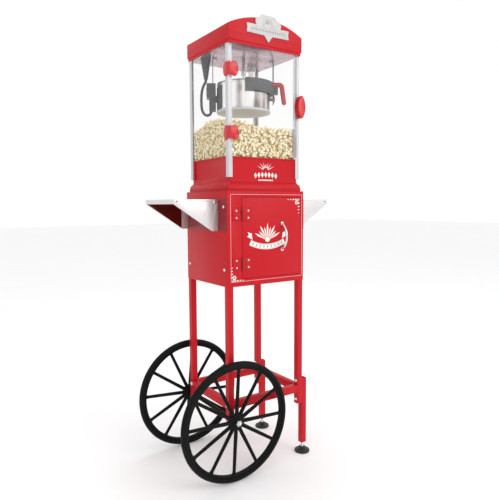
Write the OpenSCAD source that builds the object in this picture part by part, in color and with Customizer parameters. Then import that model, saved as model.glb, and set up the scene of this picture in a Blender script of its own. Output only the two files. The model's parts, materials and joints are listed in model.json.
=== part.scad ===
// Popcorn cart: a wheeled cabinet that carries a glass-sided popcorn machine.
// Millimetres, +Z up, front towards -Y, origin at the middle of the footprint on the floor.

/* [Cabinet and frame] */
// Width of the cart cabinet
cart_w = 292; // [270:1:340]
// Depth of the cart cabinet
cart_d = 260; // [245:1:300]
// Height of the cabinet floor above the ground
cabinet_z = 597; // [560:1:700]
// Height of the cabinet
cabinet_h = 291; // [285:1:360]
// Thickness of the cabinet sheet
skin = 1.5; // [1:0.1:2.5]
// Side of the square frame tube
leg = 19; // [17:1:23]
// Wall of the square frame tube
leg_wall = 1.5; // [1:0.1:2]
// Length of the legs below the axle
leg_drop = 11; // [8:1:22]
// Height of the lower rails above the ends of the legs
rail_rise = 39; // [30:1:50]
// Depth of the lower rails
rail_h = 25; // [20:1:30]

/* [Wheels and feet] */
// Radius of a wheel over its tyre
wheel_r = 187; // [178:1:192]
// Width of the tyre
tyre_w = 21; // [14:1:22]
// Distance from the leg's face to the wheel's middle plane
wheel_gap = 26.5; // [24:0.5:34]
// Number of spokes in a wheel
spokes = 12; // [8:1:14]
// Diameter of a spoke
spoke_d = 11; // [6:0.5:12]
// Diameter of the axle
axle_d = 12; // [10:0.5:13]
// Radius of a wheel hub
hub_r = 25; // [18:1:28]
// Running clearance round a turning shaft or pin
run_fit = 0.05; // [0.02:0.01:0.1]
// Height of the foot legs above the ground
foot_leg_z = 34; // [28:1:45]
// Length of the foot legs
foot_leg_h = 226; // [200:1:260]
// Radius of a levelling foot
foot_r = 25.5; // [18:0.5:28]
// Height of a levelling foot's pad
foot_h = 17; // [10:1:20]
// Diameter of a levelling foot's stud
stud_d = 8; // [6:0.5:10]

/* [Cabinet door] */
// Width of the front frame left of the door
left_band = 52; // [40:1:60]
// Width of the front frame right of the door
right_band = 12; // [10:1:18]
// Height of the front frame under and over the door
end_band = 22; // [16:1:28]
// Gap all round the door
door_gap = 1; // [0.6:0.1:2]
// Thickness of the door sheet
door_t = 1.2; // [0.8:0.1:1.3]
// Radius of a door hinge's barrel
barrel_r = 3; // [2.5:0.1:4]
// Radius of a hinge pin
pin_r = 1.5; // [1:0.1:1.8]
// Height of a door hinge
hinge_h = 39; // [30:1:48]
// Width of a door hinge's leaf
leaf_w = 34; // [24:1:38]

/* [Side shelves] */
// Reach of a shelf from the middle of the cart
shelf_reach = 296; // [270:1:310]
// Front end of a shelf
shelf_front = -80; // [-100:1:-60]
// Back end of a shelf
shelf_back = 122; // [110:1:124]
// Height of a shelf's top above the cabinet floor
shelf_rise = 265; // [240:1:272]
// Depth of a shelf's cheek at the wall
cheek_h = 96; // [70:1:110]
// Depth of a shelf's outer flange
flange_h = 14; // [10:1:20]
// Thickness of the shelf sheet
shelf_t = 1.2; // [1:0.1:1.6]
// Radius of a shelf's hinge pin
shelf_pin_r = 3; // [2.5:0.1:3.5]

/* [Popcorn machine] */
// Width of the machine base
base_w = 255; // [245:1:262]
// Depth of the machine base
base_d = 232; // [224:1:238]
// Height of the machine base
base_h = 102; // [90:1:120]
// Width of the base's flared foot
flare_w = 272; // [266:1:286]
// Depth of the base's flared foot
flare_d = 254; // [246:1:258]
// Width over the corner posts
post_w = 268; // [266:1:276]
// Depth over the corner posts
post_d = 242; // [240:1:248]
// Thickness of a corner post
post_t = 2.5; // [1.5:0.1:3]
// Thickness of the glass
glass_t = 3; // [2.5:0.1:4]
// Height of the glass case
case_h = 326; // [320:1:380]
// Width of the canopy
canopy_w = 273; // [271:1:280]
// Depth of the canopy
canopy_d = 261; // [256:1:266]
// Height of the canopy's side walls
canopy_h = 54; // [48:1:70]
// Rise of the canopy's crown over its sides
crown_rise = 34; // [26:1:44]

/* [Kettle] */
// Radius of the kettle
pot_r = 85; // [76:1:86]
// Height of the kettle's tilt axis below the ceiling
kettle_drop = 128; // [126:1:140]
// Height of the kettle's rim above the tilt axis
rim_up = 46; // [43:1:50]
// Distance of the hanger arms from the kettle's middle
arm_h = 98; // [96:1:99]
// Distance of the handle's grip from the kettle's middle
handle_h = 133; // [122:1:134]
// Radius of the kettle handle
handle_r = 8; // [6:0.5:8]
// Radius of the stirrer's rod
rod_r = 4; // [3:0.5:5]
// Diameter of the kettle lead
lead_d = 8.5; // [6:0.5:9]

/* [Hidden] */
$fn = 64;
eps = 0.01;
far = 1000;

// Frame
leg_x = cart_w/2 - skin - leg/2;
leg_y = cart_d/2 - skin - leg/2;
cab_top = cabinet_z + cabinet_h;
axle_x = -leg_x;
axle_z = wheel_r;
leg_z = axle_z - leg_drop;
rail_z = leg_z + rail_rise;
wheel_y = leg_y + leg/2 + wheel_gap;
hub_len = 24;
spacer_r = 9;
nut_r = 9.8;
nut_len = 5;
dome_r = 7.5;
foot_x = leg_x + leg;
bolt_r = 3;
bolt_fit = 0.1;
head_r = 6.5;
head_t = 4;
rail_bolt_z = rail_z + rail_h/2;
foot_bolts = [leg_z + 15, leg_z + 78];
spoke_turn_front = -3.5;
spoke_turn_back = -5;
tyre_r = tyre_w/2;
rim_out = wheel_r - tyre_w + 4;
rim_t = 7;
// The row's origin is under the middle of the whole object, wheels and shelves included
origin_shift = (wheel_r - axle_x - shelf_reach)/2;

// Cabinet door
front = -cart_d/2;
open_l = -cart_w/2 + left_band;
open_r = cart_w/2 - right_band;
open_b = cabinet_z + end_band;
open_t = cab_top - end_band + 3;
hinge_x = open_l;
hinge_y = front - barrel_r;
hinge_gap = 0.4;
leaf_t = 1.5;
hinge_zs = [open_b + 46.5, open_t - 52.5];
knuckle = hinge_h/3;
pull_x = 59;
pull_z = (open_b + open_t)/2;
pull_span = 81;
pull_out = 24;
pull_r = 3.5;

// Shelves
plate_t = 2;
plate_gap = 0.35;
shelf_z = cabinet_z + shelf_rise;
pin_z = shelf_z - 9;
pin_u = cart_w/2 + 13;
swing_r = pin_u - cart_w/2 - plate_t - plate_gap;
tray_in = pin_u - sqrt(swing_r*swing_r - 81);
cheek_flat = 21;
ear_r = 7;
ear_t = 4;
ear_fit = 1;
ear_ys = [shelf_front + 6, shelf_back - 8];

// Machine
deck_z = cab_top + base_h;
ceil_z = deck_z + case_h;
base_t = 1.5;
deck_t = 3;
post_leg_x = 14;
post_leg_y = 15;
post_z = cab_top + 40;
glass_x = post_w/2 - post_t;
glass_y = post_d/2 - post_t;
ogee = [[0, 0], [8, 0], [17, 3], [23, 11], [27, 17]];
pan_depth = 15;
canopy_t = 1.2;
lip_in = 2.5;
lip_h = 9;
crown_r = (canopy_w*canopy_w/4 + crown_rise*crown_rise)/(2*crown_rise);
ceil_t = 2;

// Glass door
door_off = 0.5;
gdoor_y = -post_d/2 - door_off - glass_t;
gdoor_l = -post_w/2 + 8;
gdoor_r = post_w/2;
gdoor_b = deck_z + 4;
gdoor_t = ceil_z - 4;
clip_t = 2.5;
ghinge_x = -post_w/2 + 0.5;
ghinge_y = gdoor_y - clip_t;
clip_h = 44;
clip_x = 31;
side_leaf = 31;
clip_zs = [deck_z + 69, ceil_z - 73];
knob_z = deck_z + 164;
knob_w = 30;
knob_h = 76;
knob_trim = 35;
knob_over = 8;
knob_out = 21;

// Kettle, in a frame turned so that +X points at the handle and -Y at the pouring side
kettle_turn = -30;
tilt_z = ceil_z - kettle_drop;
pot_t = 1.5;
pot_floor = -42;
pan_low = -46.5;
pan_up = -39.5;
pan_r = pot_r + 3;
pan_round = 3;
guard_in = pot_r + 5;
guard_t = 6;
guard_low = 12;
guard_up = 49;
guard_arc = 73;
lug_low = 16;
lug_out = 112;
lug_w = 18;
lug_gap = 0.3;
stub_up = 47;
grip_low = -10;
grip_lean = 8;
arm_t = 3;
arm_w = 18;
pivot_r = 5;
pivot_out = arm_h + 6;
hollow_r = 11;
hollow_in = 7;
strap_w = 28;
strap_t = 1.5;
lid_t = 1.2;
lid_pin_y = 17;
lid_pin_up = rim_up + strap_t + 2.2;
lid_knuckle_r = 2;
lid_pin_r = 1;
lid_knuckle_x = 40;
coupling_up = 82;
coupling_gap = 0.7;
coupling_r = 8;
paddle_up = pot_floor + pot_t + 9;
paddle_len = pot_r - 8;
block_in = pan_r + 2.5;
block_out = 120;
block_step = 112;
block_low = -38;
block_mid = 2;
block_up = 46;
block_hw = 23;
block_fit = 0.3;
relief_x = -122;
relief_len = 66;
relief_top_r = 17;
relief_end_r = lead_d/2 + 3;
lamp_xy = [79, 70];
lamp_r = 13;
lamp_len = 63;
motor = [70, 50, 46];

// Rear switches and inlet
rocker_r = 9;
rocker_w = 12;
rocker_z = cab_top + 62;
rocker_xs = [-40, -12];
rocker_in = 5;
rocker_rest = -10;
rocker_fit = 0.5;
inlet_x = 60;
inlet_w = 48;
inlet_h = 28;

// The kettle lead's route in the kettle's turned frame: [out, height over the tilt axis].
// It hangs from the strain relief, swings clear of the connector and turns up into it.
lead_route = [[-122, 62], [-122, 57], [-125.5, 50], [-129.5, 43], [-133, 34], [-135.5, 24],
    [-137, 12], [-137.5, 0], [-137.5, -12], [-137, -24], [-135.5, -35], [-132, -44], [-126.5, -50],
    [-119.5, -52.5], [-112.5, -51], [-108, -46.5], [-106, -42], [-106, -38]];

// Heights of the popcorn over the deck
heap_low = 76;
heap_left = 42;
heap_front = 18;
heap_corner = 17;
heap_cells = 22;

module placed() { translate([origin_shift, 0, 0]) children(); }
module block(lo, hi) { translate(lo) cube(hi - lo); }
module rod_x(r, a, b, y, z) { translate([a, y, z]) rotate([0, 90, 0]) cylinder(r = r, h = b - a); }
module rod_y(r, a, b, x, z) { translate([x, b, z]) rotate([90, 0, 0]) cylinder(r = r, h = b - a); }
module kettle_frame() { placed() translate([0, 0, tilt_z]) rotate([0, 0, kettle_turn]) children(); }

// ---------- frame ----------
module tube_z(x, y, a, b) {
    difference() {
        block([x - leg/2, y - leg/2, a], [x + leg/2, y + leg/2, b]);
        block([x - leg/2 + leg_wall, y - leg/2 + leg_wall, a - 1],
            [x + leg/2 - leg_wall, y + leg/2 - leg_wall, b + 1]);
    }
}
module leg_at(sx, sy) {
    placed() color("firebrick") difference() {
        tube_z(sx*leg_x, sy*leg_y, leg_z, cab_top - skin);
        if (sx < 0) {
            rod_y(axle_d/2, -far, far, axle_x, axle_z);
            rod_x(bolt_r + bolt_fit, -far, 0, sy*leg_y, rail_bolt_z);
        } else {
            for (z = foot_bolts) rod_x(bolt_r + bolt_fit, 0, far, sy*leg_y, z);
        }
    }
}
module leg_front_left() { leg_at(-1, -1); }
module leg_front_right() { leg_at(1, -1); }
module leg_back_left() { leg_at(-1, 1); }
module leg_back_right() { leg_at(1, 1); }
module rail_x(sy) {
    len = leg_x - leg/2;
    placed() color("firebrick") difference() {
        block([-len, sy*leg_y - leg/2, rail_z], [len, sy*leg_y + leg/2, rail_z + rail_h]);
        block([-len - 1, sy*leg_y - leg/2 + leg_wall, rail_z + leg_wall],
            [len + 1, sy*leg_y + leg/2 - leg_wall, rail_z + rail_h - leg_wall]);
    }
}
module rail_front() { rail_x(-1); }
module rail_back() { rail_x(1); }
module side_rails() {
    len = leg_y - leg/2;
    placed() color("firebrick") for (sx = [-1, 1]) difference() {
        block([sx*leg_x - leg/2, -len, rail_z], [sx*leg_x + leg/2, len, rail_z + rail_h]);
        block([sx*leg_x - leg/2 + leg_wall, -len - 1, rail_z + leg_wall],
            [sx*leg_x + leg/2 - leg_wall, len + 1, rail_z + rail_h - leg_wall]);
    }
}
module foot_leg(sy) {
    plug_t = 12;
    placed() color("firebrick") difference() {
        union() {
            tube_z(foot_x, sy*leg_y, foot_leg_z, foot_leg_z + foot_leg_h);
            block([foot_x - leg/2 + leg_wall - eps, sy*leg_y - leg/2 + leg_wall - eps, foot_leg_z],
                [foot_x + leg/2 - leg_wall + eps, sy*leg_y + leg/2 - leg_wall + eps, foot_leg_z + plug_t]);
        }
        translate([foot_x, sy*leg_y, foot_leg_z - 1]) cylinder(r = stud_d/2 + run_fit, h = plug_t + 2);
        for (z = foot_bolts) rod_x(bolt_r + bolt_fit, foot_x - leg, foot_x, sy*leg_y, z);
    }
}
module foot_leg_front() { foot_leg(-1); }
module foot_leg_back() { foot_leg(1); }
module levelling_foot(sy) {
    lip = 4;
    neck_r = 9;
    placed() translate([foot_x, sy*leg_y, 0]) color([0.1, 0.1, 0.1]) {
        rotate_extrude() polygon([[0, 0], [foot_r, 0], [foot_r, lip], [neck_r, foot_h], [0, foot_h]]);
        translate([0, 0, foot_h - eps]) cylinder(r = stud_d/2, h = foot_leg_z + 24 - foot_h);
    }
}
module levelling_foot_front() { levelling_foot(-1); }
module levelling_foot_back() { levelling_foot(1); }
module axle() {
    placed() color([0.15, 0.15, 0.15]) {
        rod_y(axle_d/2, -wheel_y - hub_len/2 - 5, wheel_y + hub_len/2 + 5, axle_x, axle_z);
        for (sy = [-1, 1]) {
            inner = leg_y + leg/2;
            outer = wheel_y - hub_len/2 - 0.5;
            rod_y(spacer_r, sy > 0 ? inner : -outer, sy > 0 ? outer : -inner, axle_x, axle_z);
        }
    }
}
module wheel(sy, turn) {
    placed() translate([axle_x, sy*wheel_y, axle_z]) color([0.12, 0.12, 0.12]) difference() {
        union() {
            rotate([90, 0, 0]) rotate_extrude($fn = 96) translate([rim_out - rim_t, -7]) square([rim_t, 14]);
            rod_y(hub_r, -hub_len/2, hub_len/2, 0, 0);
            for (i = [0 : spokes - 1]) rotate([0, -turn - i*360/spokes, 0])
                rod_x(spoke_d/2, hub_r - 3, rim_out - rim_t/2, 0, 0);
        }
        rod_y(axle_d/2 + run_fit, -hub_len, hub_len, 0, 0);
    }
}
module wheel_front() { wheel(-1, spoke_turn_front); }
module wheel_back() { wheel(1, spoke_turn_back); }
module tyre(sy) {
    placed() translate([axle_x, sy*wheel_y, axle_z]) color([0.08, 0.08, 0.08])
        rotate([90, 0, 0]) rotate_extrude($fn = 96) difference() {
            translate([wheel_r - tyre_r, 0]) circle(r = tyre_r, $fn = 32);
            translate([rim_out - far, -far/2]) square([far, far]);
        }
}
module tyre_front() { tyre(-1); }
module tyre_back() { tyre(1); }
module bolt(x, y, z, dir, len) {
    translate([x, y, z]) rotate([0, dir*90, 0]) {
        translate([0, 0, -head_t]) cylinder(r1 = head_r - 2, r2 = head_r, h = head_t);
        translate([0, 0, -eps]) cylinder(r = bolt_r, h = len);
    }
}
module frame_fasteners() {
    placed() color("silver") {
        for (sy = [-1, 1]) {
            nut_y = wheel_y + hub_len/2 + 0.5;
            translate([axle_x, sy*nut_y, axle_z]) rotate([-sy*90, 0, 0]) difference() {
                union() {
                    cylinder(r = nut_r, h = nut_len, $fn = 6);
                    translate([0, 0, nut_len - 1]) intersection() {
                        sphere(r = dome_r, $fn = 32);
                        cylinder(r = nut_r, h = nut_r);
                    }
                }
                translate([0, 0, -1]) cylinder(r = axle_d/2, h = 5.5);
            }
            bolt(-leg_x - leg/2, sy*leg_y, rail_bolt_z, 1, leg + 12);
            for (z = foot_bolts) bolt(leg_x - leg/2, sy*leg_y, z, 1, leg*1.7);
        }
        for (sx = [-1, 1], y = [-112, 112])
            translate([sx*cart_w/2, y, cabinet_z + 52]) rotate([0, sx*90, 0])
                cylinder(r1 = 5, r2 = 3.5, h = 2.5);
        for (sx = [-1, 1])
            translate([sx*(cart_w/2 + plate_t), -112, shelf_z - 23]) rotate([0, sx*90, 0])
                cylinder(r1 = 5, r2 = 3.5, h = 2.5);
    }
}

// ---------- cabinet ----------
module cabinet_shell() {
    hw = cart_w/2;
    hd = cart_d/2;
    placed() color("firebrick") difference() {
        block([-hw, -hd + skin, cabinet_z], [hw, hd, cab_top - skin]);
        block([-hw + skin, -hd, cabinet_z + skin], [hw - skin, hd - skin, cab_top]);
        for (sx = [-1, 1], sy = [-1, 1])
            block([sx*leg_x - leg/2, sy*leg_y - leg/2, cabinet_z - 1],
                [sx*leg_x + leg/2, sy*leg_y + leg/2, cabinet_z + skin + 1]);
    }
}
module cabinet_front_frame() {
    placed() color("firebrick") difference() {
        block([-cart_w/2, front, cabinet_z], [cart_w/2, front + skin, cab_top - skin]);
        block([open_l, front - 1, open_b], [open_r, front + skin + 1, open_t]);
    }
}
module cabinet_top() {
    placed() color("firebrick")
        block([-cart_w/2, front, cab_top - skin], [cart_w/2, -front, cab_top]);
}
module cart_door() {
    inset = 13;
    pan = 10;
    l = open_l + door_gap;
    r = open_r - door_gap;
    b = open_b + door_gap;
    t = open_t - door_gap;
    pan_r2 = min(r - inset, leg_x - leg/2 - 4);
    placed() color("firebrick") {
        block([l, front, b], [r, front + door_t, t]);
        difference() {
            block([l + inset, front + door_t - eps, b + inset], [pan_r2, front + pan, t - inset]);
            block([l + inset + door_t, front, b + inset + door_t],
                [pan_r2 - door_t, front + pan + 1, t - inset - door_t]);
        }
    }
}
// One hinge half: a leaf on the +X side of the barrel, with the knuckles asked for
module hinge_half(h, w, thick, r, hole, mids) {
    k = h/3;
    spans = mids ? [[k + 0.2, 2*k - 0.2]] : [[0, k - 0.2], [2*k + 0.2, h]];
    difference() {
        union() {
            block([r + hinge_gap, r - thick, 0], [w, r, h]);
            for (s = spans) {
                translate([0, 0, s[0]]) cylinder(r = r, h = s[1] - s[0]);
                block([0, r - thick, s[0]], [r + hinge_gap + eps, r, s[1]]);
            }
        }
        translate([0, 0, -1]) cylinder(r = hole, h = h + 2);
    }
}
module door_hinges_fixed() {
    placed() color([0.75, 0.75, 0.72]) for (z = hinge_zs) translate([hinge_x, hinge_y, z - hinge_h/2]) {
        mirror([1, 0, 0]) hinge_half(hinge_h, leaf_w, leaf_t, barrel_r, pin_r, false);
        cylinder(r = pin_r, h = hinge_h);
    }
}
module door_hinge_leaves() {
    placed() color([0.75, 0.75, 0.72]) for (z = hinge_zs) translate([hinge_x, hinge_y, z - hinge_h/2])
        hinge_half(hinge_h, leaf_w, leaf_t, barrel_r, pin_r + run_fit, true);
}
module door_pull() {
    bow_r = (pull_span*pull_span/4 + pull_out*pull_out)/(2*pull_out);
    placed() color("silver") {
        intersection() {
            translate([pull_x, front - pull_out + bow_r, pull_z]) rotate([0, 90, 0])
                rotate_extrude($fn = 96) translate([bow_r, 0]) circle(r = pull_r, $fn = 24);
            block([pull_x - 10, front - 2*pull_out, pull_z - pull_span], [pull_x + 10, front, pull_z + pull_span]);
        }
        for (s = [-1, 1]) rod_y(6, front - 1.5, front, pull_x, pull_z + s*pull_span/2);
    }
}

// ---------- side shelves: u runs outwards from the middle of the cart ----------
module mirrored_x(s) { if (s < 0) mirror([1, 0, 0]) children(); else children(); }
module shelf_wall_plates() {
    placed() for (s = [-1, 1]) mirrored_x(s) {
        wall = cart_w/2;
        color("darkred") block([wall, -cart_d/2 + 1, shelf_z - cheek_h], [wall + plate_t, shelf_back + 2, shelf_z + 2]);
        color("silver") for (y = ear_ys) difference() {
            union() {
                block([wall + plate_t, y - ear_t/2, pin_z - ear_r], [pin_u, y + ear_t/2, pin_z + ear_r]);
                rod_y(ear_r, y - ear_t/2, y + ear_t/2, pin_u, pin_z);
            }
            rod_y(shelf_pin_r, y - ear_t, y + ear_t, pin_u, pin_z);
        }
    }
}
module shelf_pins() {
    placed() color("silver") for (s = [-1, 1]) mirrored_x(s) {
        rod_y(shelf_pin_r, shelf_front - 3, shelf_back + 3, pin_u, pin_z);
        rod_y(shelf_pin_r + 2, shelf_front - 3, shelf_front - 0.4, pin_u, pin_z);
        rod_y(shelf_pin_r + 2, shelf_back + 0.4, shelf_back + 3, pin_u, pin_z);
    }
}
module cheek(y) {
    low = shelf_z - cheek_h - pin_z;
    top = shelf_z - pin_z;
    first = acos((tray_in - pin_u)/swing_r);
    round = [for (i = [0 : 8]) let(a = first + (180 - first)*i/8) swing_r*[cos(a), sin(a)]];
    translate([pin_u, y + shelf_t, pin_z]) rotate([90, 0, 0]) linear_extrude(shelf_t)
        polygon(concat([[shelf_reach - pin_u, top]], round,
            [[-swing_r, low], [cheek_flat - swing_r, low], [shelf_reach - pin_u, top - flange_h]]));
}
module shelf(s) {
    placed() color([0.8, 0.8, 0.8]) mirrored_x(s) difference() {
        union() {
            block([tray_in, shelf_front, shelf_z - shelf_t], [shelf_reach, shelf_back, shelf_z]);
            block([shelf_reach - shelf_t, shelf_front, shelf_z - flange_h], [shelf_reach, shelf_back, shelf_z]);
            cheek(shelf_front);
            cheek(shelf_back - shelf_t);
        }
        for (y = [shelf_front, shelf_back]) rod_y(shelf_pin_r + run_fit, y - 3, y + 3, pin_u, pin_z);
        for (y = ear_ys) block([0, y - ear_t/2 - ear_fit, shelf_z - 5], [pin_u + 11, y + ear_t/2 + ear_fit, shelf_z + 5]);
    }
}
module shelf_left() { shelf(-1); }
module shelf_right() { shelf(1); }

// ---------- popcorn machine ----------
module slab(hw, hd, z, t) { translate([-hw, -hd, z]) cube([2*hw, 2*hd, t]); }
module machine_base() {
    placed() color("firebrick") difference() {
        union() {
            slab(base_w/2, base_d/2, cab_top, base_h);
            slab(flare_w/2, flare_d/2, cab_top, ogee[1][0]);
            for (i = [1 : len(ogee) - 2]) {
                a = ogee[i][1]/ogee[len(ogee) - 1][1];
                b = ogee[i + 1][1]/ogee[len(ogee) - 1][1];
                hull() {
                    slab(flare_w/2*(1 - a) + base_w/2*a, flare_d/2*(1 - a) + base_d/2*a, cab_top + ogee[i][0], eps);
                    slab(flare_w/2*(1 - b) + base_w/2*b, flare_d/2*(1 - b) + base_d/2*b, cab_top + ogee[i + 1][0], eps);
                }
            }
            slab(glass_x, glass_y, deck_z - deck_t, deck_t);
            for (sx = [-1, 1], sy = [-1, 1]) intersection() {
                slab(glass_x, glass_y, post_z, deck_z - post_z);
                translate([sx*glass_x, sy*glass_y, deck_z - 50]) cube([26, 44, 100], center = true);
            }
        }
        slab(base_w/2 - base_t, base_d/2 - base_t, cab_top - 1, base_h + 2);
        for (x = rocker_xs) block([x - rocker_w/2 - rocker_fit, 0, rocker_z - rocker_r - rocker_fit],
            [x + rocker_w/2 + rocker_fit, far, rocker_z + rocker_r + rocker_fit]);
        block([inlet_x - inlet_w/2 + 6, 0, rocker_z - 9], [inlet_x + inlet_w/2 - 6, far, rocker_z + 9]);
    }
}
module popcorn_tray() {
    hw = base_w/2 - base_t;
    hd = base_d/2 - base_t;
    placed() color("silver") difference() {
        slab(hw, hd, deck_z - pan_depth, pan_depth);
        slab(hw - 1, hd - 1, deck_z - pan_depth + 1, pan_depth);
    }
}
// Height of the heap at a point of the case, with x and y from -1 to 1
function bell(d, w) = exp(-d*d/(w*w));
function heap_z(x, y) = heap_low + 1.5*sin(x*900)*cos(y*760) + max(
    (heap_left - 18*(y + 0.22)*(y + 0.22))*bell(x + 1, 0.36),
    (heap_front + heap_corner*min(1, max(0, -x*1.5 - 0.05)))*bell(y + 1, 0.32),
    14*bell(x - 1, 0.32), 17*bell(y - 1, 0.32));
module popcorn() {
    n = heap_cells;
    hw = base_w/2 - base_t - 1.3;
    hd = base_d/2 - base_t - 1.3;
    low = deck_z - pan_depth + 1;
    xy = [for (j = [0 : n], i = [0 : n]) [2*i/n - 1, 2*j/n - 1]];
    top = [for (p = xy) [p[0]*hw, p[1]*hd, deck_z + heap_z(p[0], p[1])]];
    base = [for (p = xy) [p[0]*hw, p[1]*hd, low]];
    m = (n + 1)*(n + 1);
    cells = [for (j = [0 : n - 1], i = [0 : n - 1]) j*(n + 1) + i];
    edge = concat([for (i = [0 : n - 1]) [i, i + 1]],
        [for (j = [0 : n - 1]) [j*(n + 1) + n, (j + 1)*(n + 1) + n]],
        [for (i = [n : -1 : 1]) [n*(n + 1) + i, n*(n + 1) + i - 1]],
        [for (j = [n : -1 : 1]) [j*(n + 1), (j - 1)*(n + 1)]]);
    faces = concat(
        [for (c = cells) [c, c + n + 1, c + n + 2]], [for (c = cells) [c, c + n + 2, c + 1]],
        [for (e = edge) [e[0], e[1], m + e[1], m + e[0]]],
        [for (e = edge) [m + e[0], m + e[1], 2*m]]);
    placed() color([0.95, 0.88, 0.6]) polyhedron(concat(top, base, [[0, 0, low]]), faces);
}
module corner_posts() {
    placed() color([0.9, 0.9, 0.9]) for (sx = [-1, 1], sy = [-1, 1]) scale([sx, sy, 1]) {
        difference() {
            block([post_w/2 - post_leg_x, post_d/2 - post_leg_y, post_z], [post_w/2, post_d/2, ceil_z]);
            block([0, 0, post_z - 1], [glass_x, glass_y, ceil_z + 1]);
        }
    }
}
module glass_side(s) {
    placed() color([0.8, 0.9, 0.95, 0.4])
        block([s > 0 ? glass_x - glass_t : -glass_x, -glass_y, deck_z],
            [s > 0 ? glass_x : -glass_x + glass_t, glass_y, ceil_z]);
}
module glass_left() { glass_side(-1); }
module glass_right() { glass_side(1); }
module glass_back() {
    placed() color([0.8, 0.9, 0.95, 0.4])
        block([-glass_x + glass_t, glass_y - glass_t, deck_z], [glass_x - glass_t, glass_y, ceil_z]);
}
module glass_door() {
    placed() color([0.8, 0.9, 0.95, 0.4])
        block([gdoor_l, gdoor_y, gdoor_b], [gdoor_r, gdoor_y + glass_t, gdoor_t]);
}
module glass_door_clips() {
    placed() color("red") for (z = clip_zs) translate([ghinge_x, ghinge_y, z - clip_h/2])
        translate([0, clip_t - barrel_r, 0]) hinge_half(clip_h, clip_x, clip_t, barrel_r, pin_r + run_fit, true);
}
module glass_door_hinges() {
    axis_y = ghinge_y + clip_t - barrel_r;
    third = clip_h/3;
    placed() color("red") for (z = clip_zs) translate([ghinge_x, axis_y, z - clip_h/2]) {
        out = -barrel_r;
        wall = -post_w/2 - ghinge_x;
        difference() {
            union() {
                for (s = [[0, third - 0.2], [2*third + 0.2, clip_h]]) {
                    translate([0, 0, s[0]]) cylinder(r = barrel_r, h = s[1] - s[0]);
                    block([out, 0, s[0]], [wall, 8, s[1]]);
                }
                block([out, barrel_r + 0.6, 0], [wall, side_leaf, clip_h]);
            }
            translate([0, 0, -1]) cylinder(r = pin_r, h = clip_h + 2);
        }
        cylinder(r = pin_r, h = clip_h);
    }
}
module glass_door_knob() {
    r = (knob_h*knob_h + knob_w*knob_w)/(4*knob_w);
    x = gdoor_r + knob_over - knob_w/2;
    placed() color("red") intersection() {
        rod_y(r, gdoor_y - knob_out, gdoor_y, x + knob_w/2 - r, knob_z, $fn = 128);
        rod_y(r, gdoor_y - knob_out, gdoor_y, x - knob_w/2 + r, knob_z, $fn = 128);
        block([x - knob_w, gdoor_y - knob_out, knob_z - knob_trim], [x + knob_w, gdoor_y, knob_z + knob_trim]);
    }
}
module vault(w, d, h, r) {
    intersection() {
        translate([-w/2, -d/2, 0]) cube([w, d, h + crown_rise + 1]);
        rod_y(r, -d, d, 0, canopy_h + crown_rise - crown_r);
    }
}
module canopy() {
    inset = lip_in + canopy_t;
    placed() translate([0, 0, ceil_z]) color("firebrick") difference() {
        vault(canopy_w, canopy_d, canopy_h, crown_r);
        difference() {
            slab(canopy_w, canopy_d, -1, lip_h + 1);
            slab(canopy_w/2 - lip_in, canopy_d/2 - lip_in, -2, lip_h + 3);
        }
        translate([0, 0, lip_h + canopy_t]) intersection() {
            translate([0, 0, -lip_h - canopy_t])
                vault(canopy_w - 2*canopy_t, canopy_d - 2*canopy_t, canopy_h, crown_r - canopy_t);
            slab(canopy_w, canopy_d, 0, far);
        }
        slab(canopy_w/2 - inset, canopy_d/2 - inset, -1, lip_h + canopy_t + 2);
    }
}
module plaque() {
    t = 4;
    z = canopy_h;
    banner = [[-75, z - 16], [-73, z - 3], [-75, z + 10], [81, z + 10], [79, z - 3], [81, z - 16],
        [19, z - 17], [4, z - 36], [-12, z - 17]];
    badge = [[-22, z + 42], [28, z + 42], [33, z + 35], [41, z + 30], [50, z + 28], [52, z + 20], [48, z + 8],
        [-40, z + 8], [-44, z + 20], [-42, z + 28], [-34, z + 30], [-27, z + 35]];
    placed() translate([0, -canopy_d/2, ceil_z]) rotate([90, 0, 0]) color("silver") linear_extrude(t) {
        polygon(banner);
        polygon(badge);
    }
}
module ceiling_panel() {
    placed() color([0.8, 0.7, 0.7]) difference() {
        slab(canopy_w/2 - lip_in - canopy_t, canopy_d/2 - lip_in - canopy_t, ceil_z, ceil_t);
        translate([0, 0, ceil_z - 1]) cylinder(r = rod_r + 1 + run_fit, h = ceil_t + 2);
    }
}

// ---------- kettle and its drive ----------
module hanger_arms() {
    kettle_frame() color([0.25, 0.25, 0.25]) {
        difference() {
            union() {
                block([arm_h, 12, 0], [arm_h + arm_t, 12 + arm_w, kettle_drop]);
                block([arm_h, 0, -arm_w/2 - 3], [arm_h + arm_t, 12 + arm_w, arm_w/2]);
                rod_x(arm_w/2 + 3, arm_h, arm_h + arm_t, 0, 0);
                block([arm_h - 12, 12, kettle_drop - 2], [arm_h + arm_t, 12 + arm_w, kettle_drop]);
            }
            rod_x(pivot_r + run_fit, 0, far, 0, 0);
        }
        difference() {
            union() {
                block([-arm_h - arm_t, -arm_w/2, 0], [-arm_h, arm_w/2, kettle_drop]);
                rod_x(hollow_r + 4, -arm_h - arm_t, -arm_h, 0, 0);
                block([-arm_h - arm_t, -arm_w/2, kettle_drop - 2], [-arm_h + 12, arm_w/2, kettle_drop]);
            }
            rod_x(hollow_r + run_fit, -far, 0, 0, 0);
        }
    }
}
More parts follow.
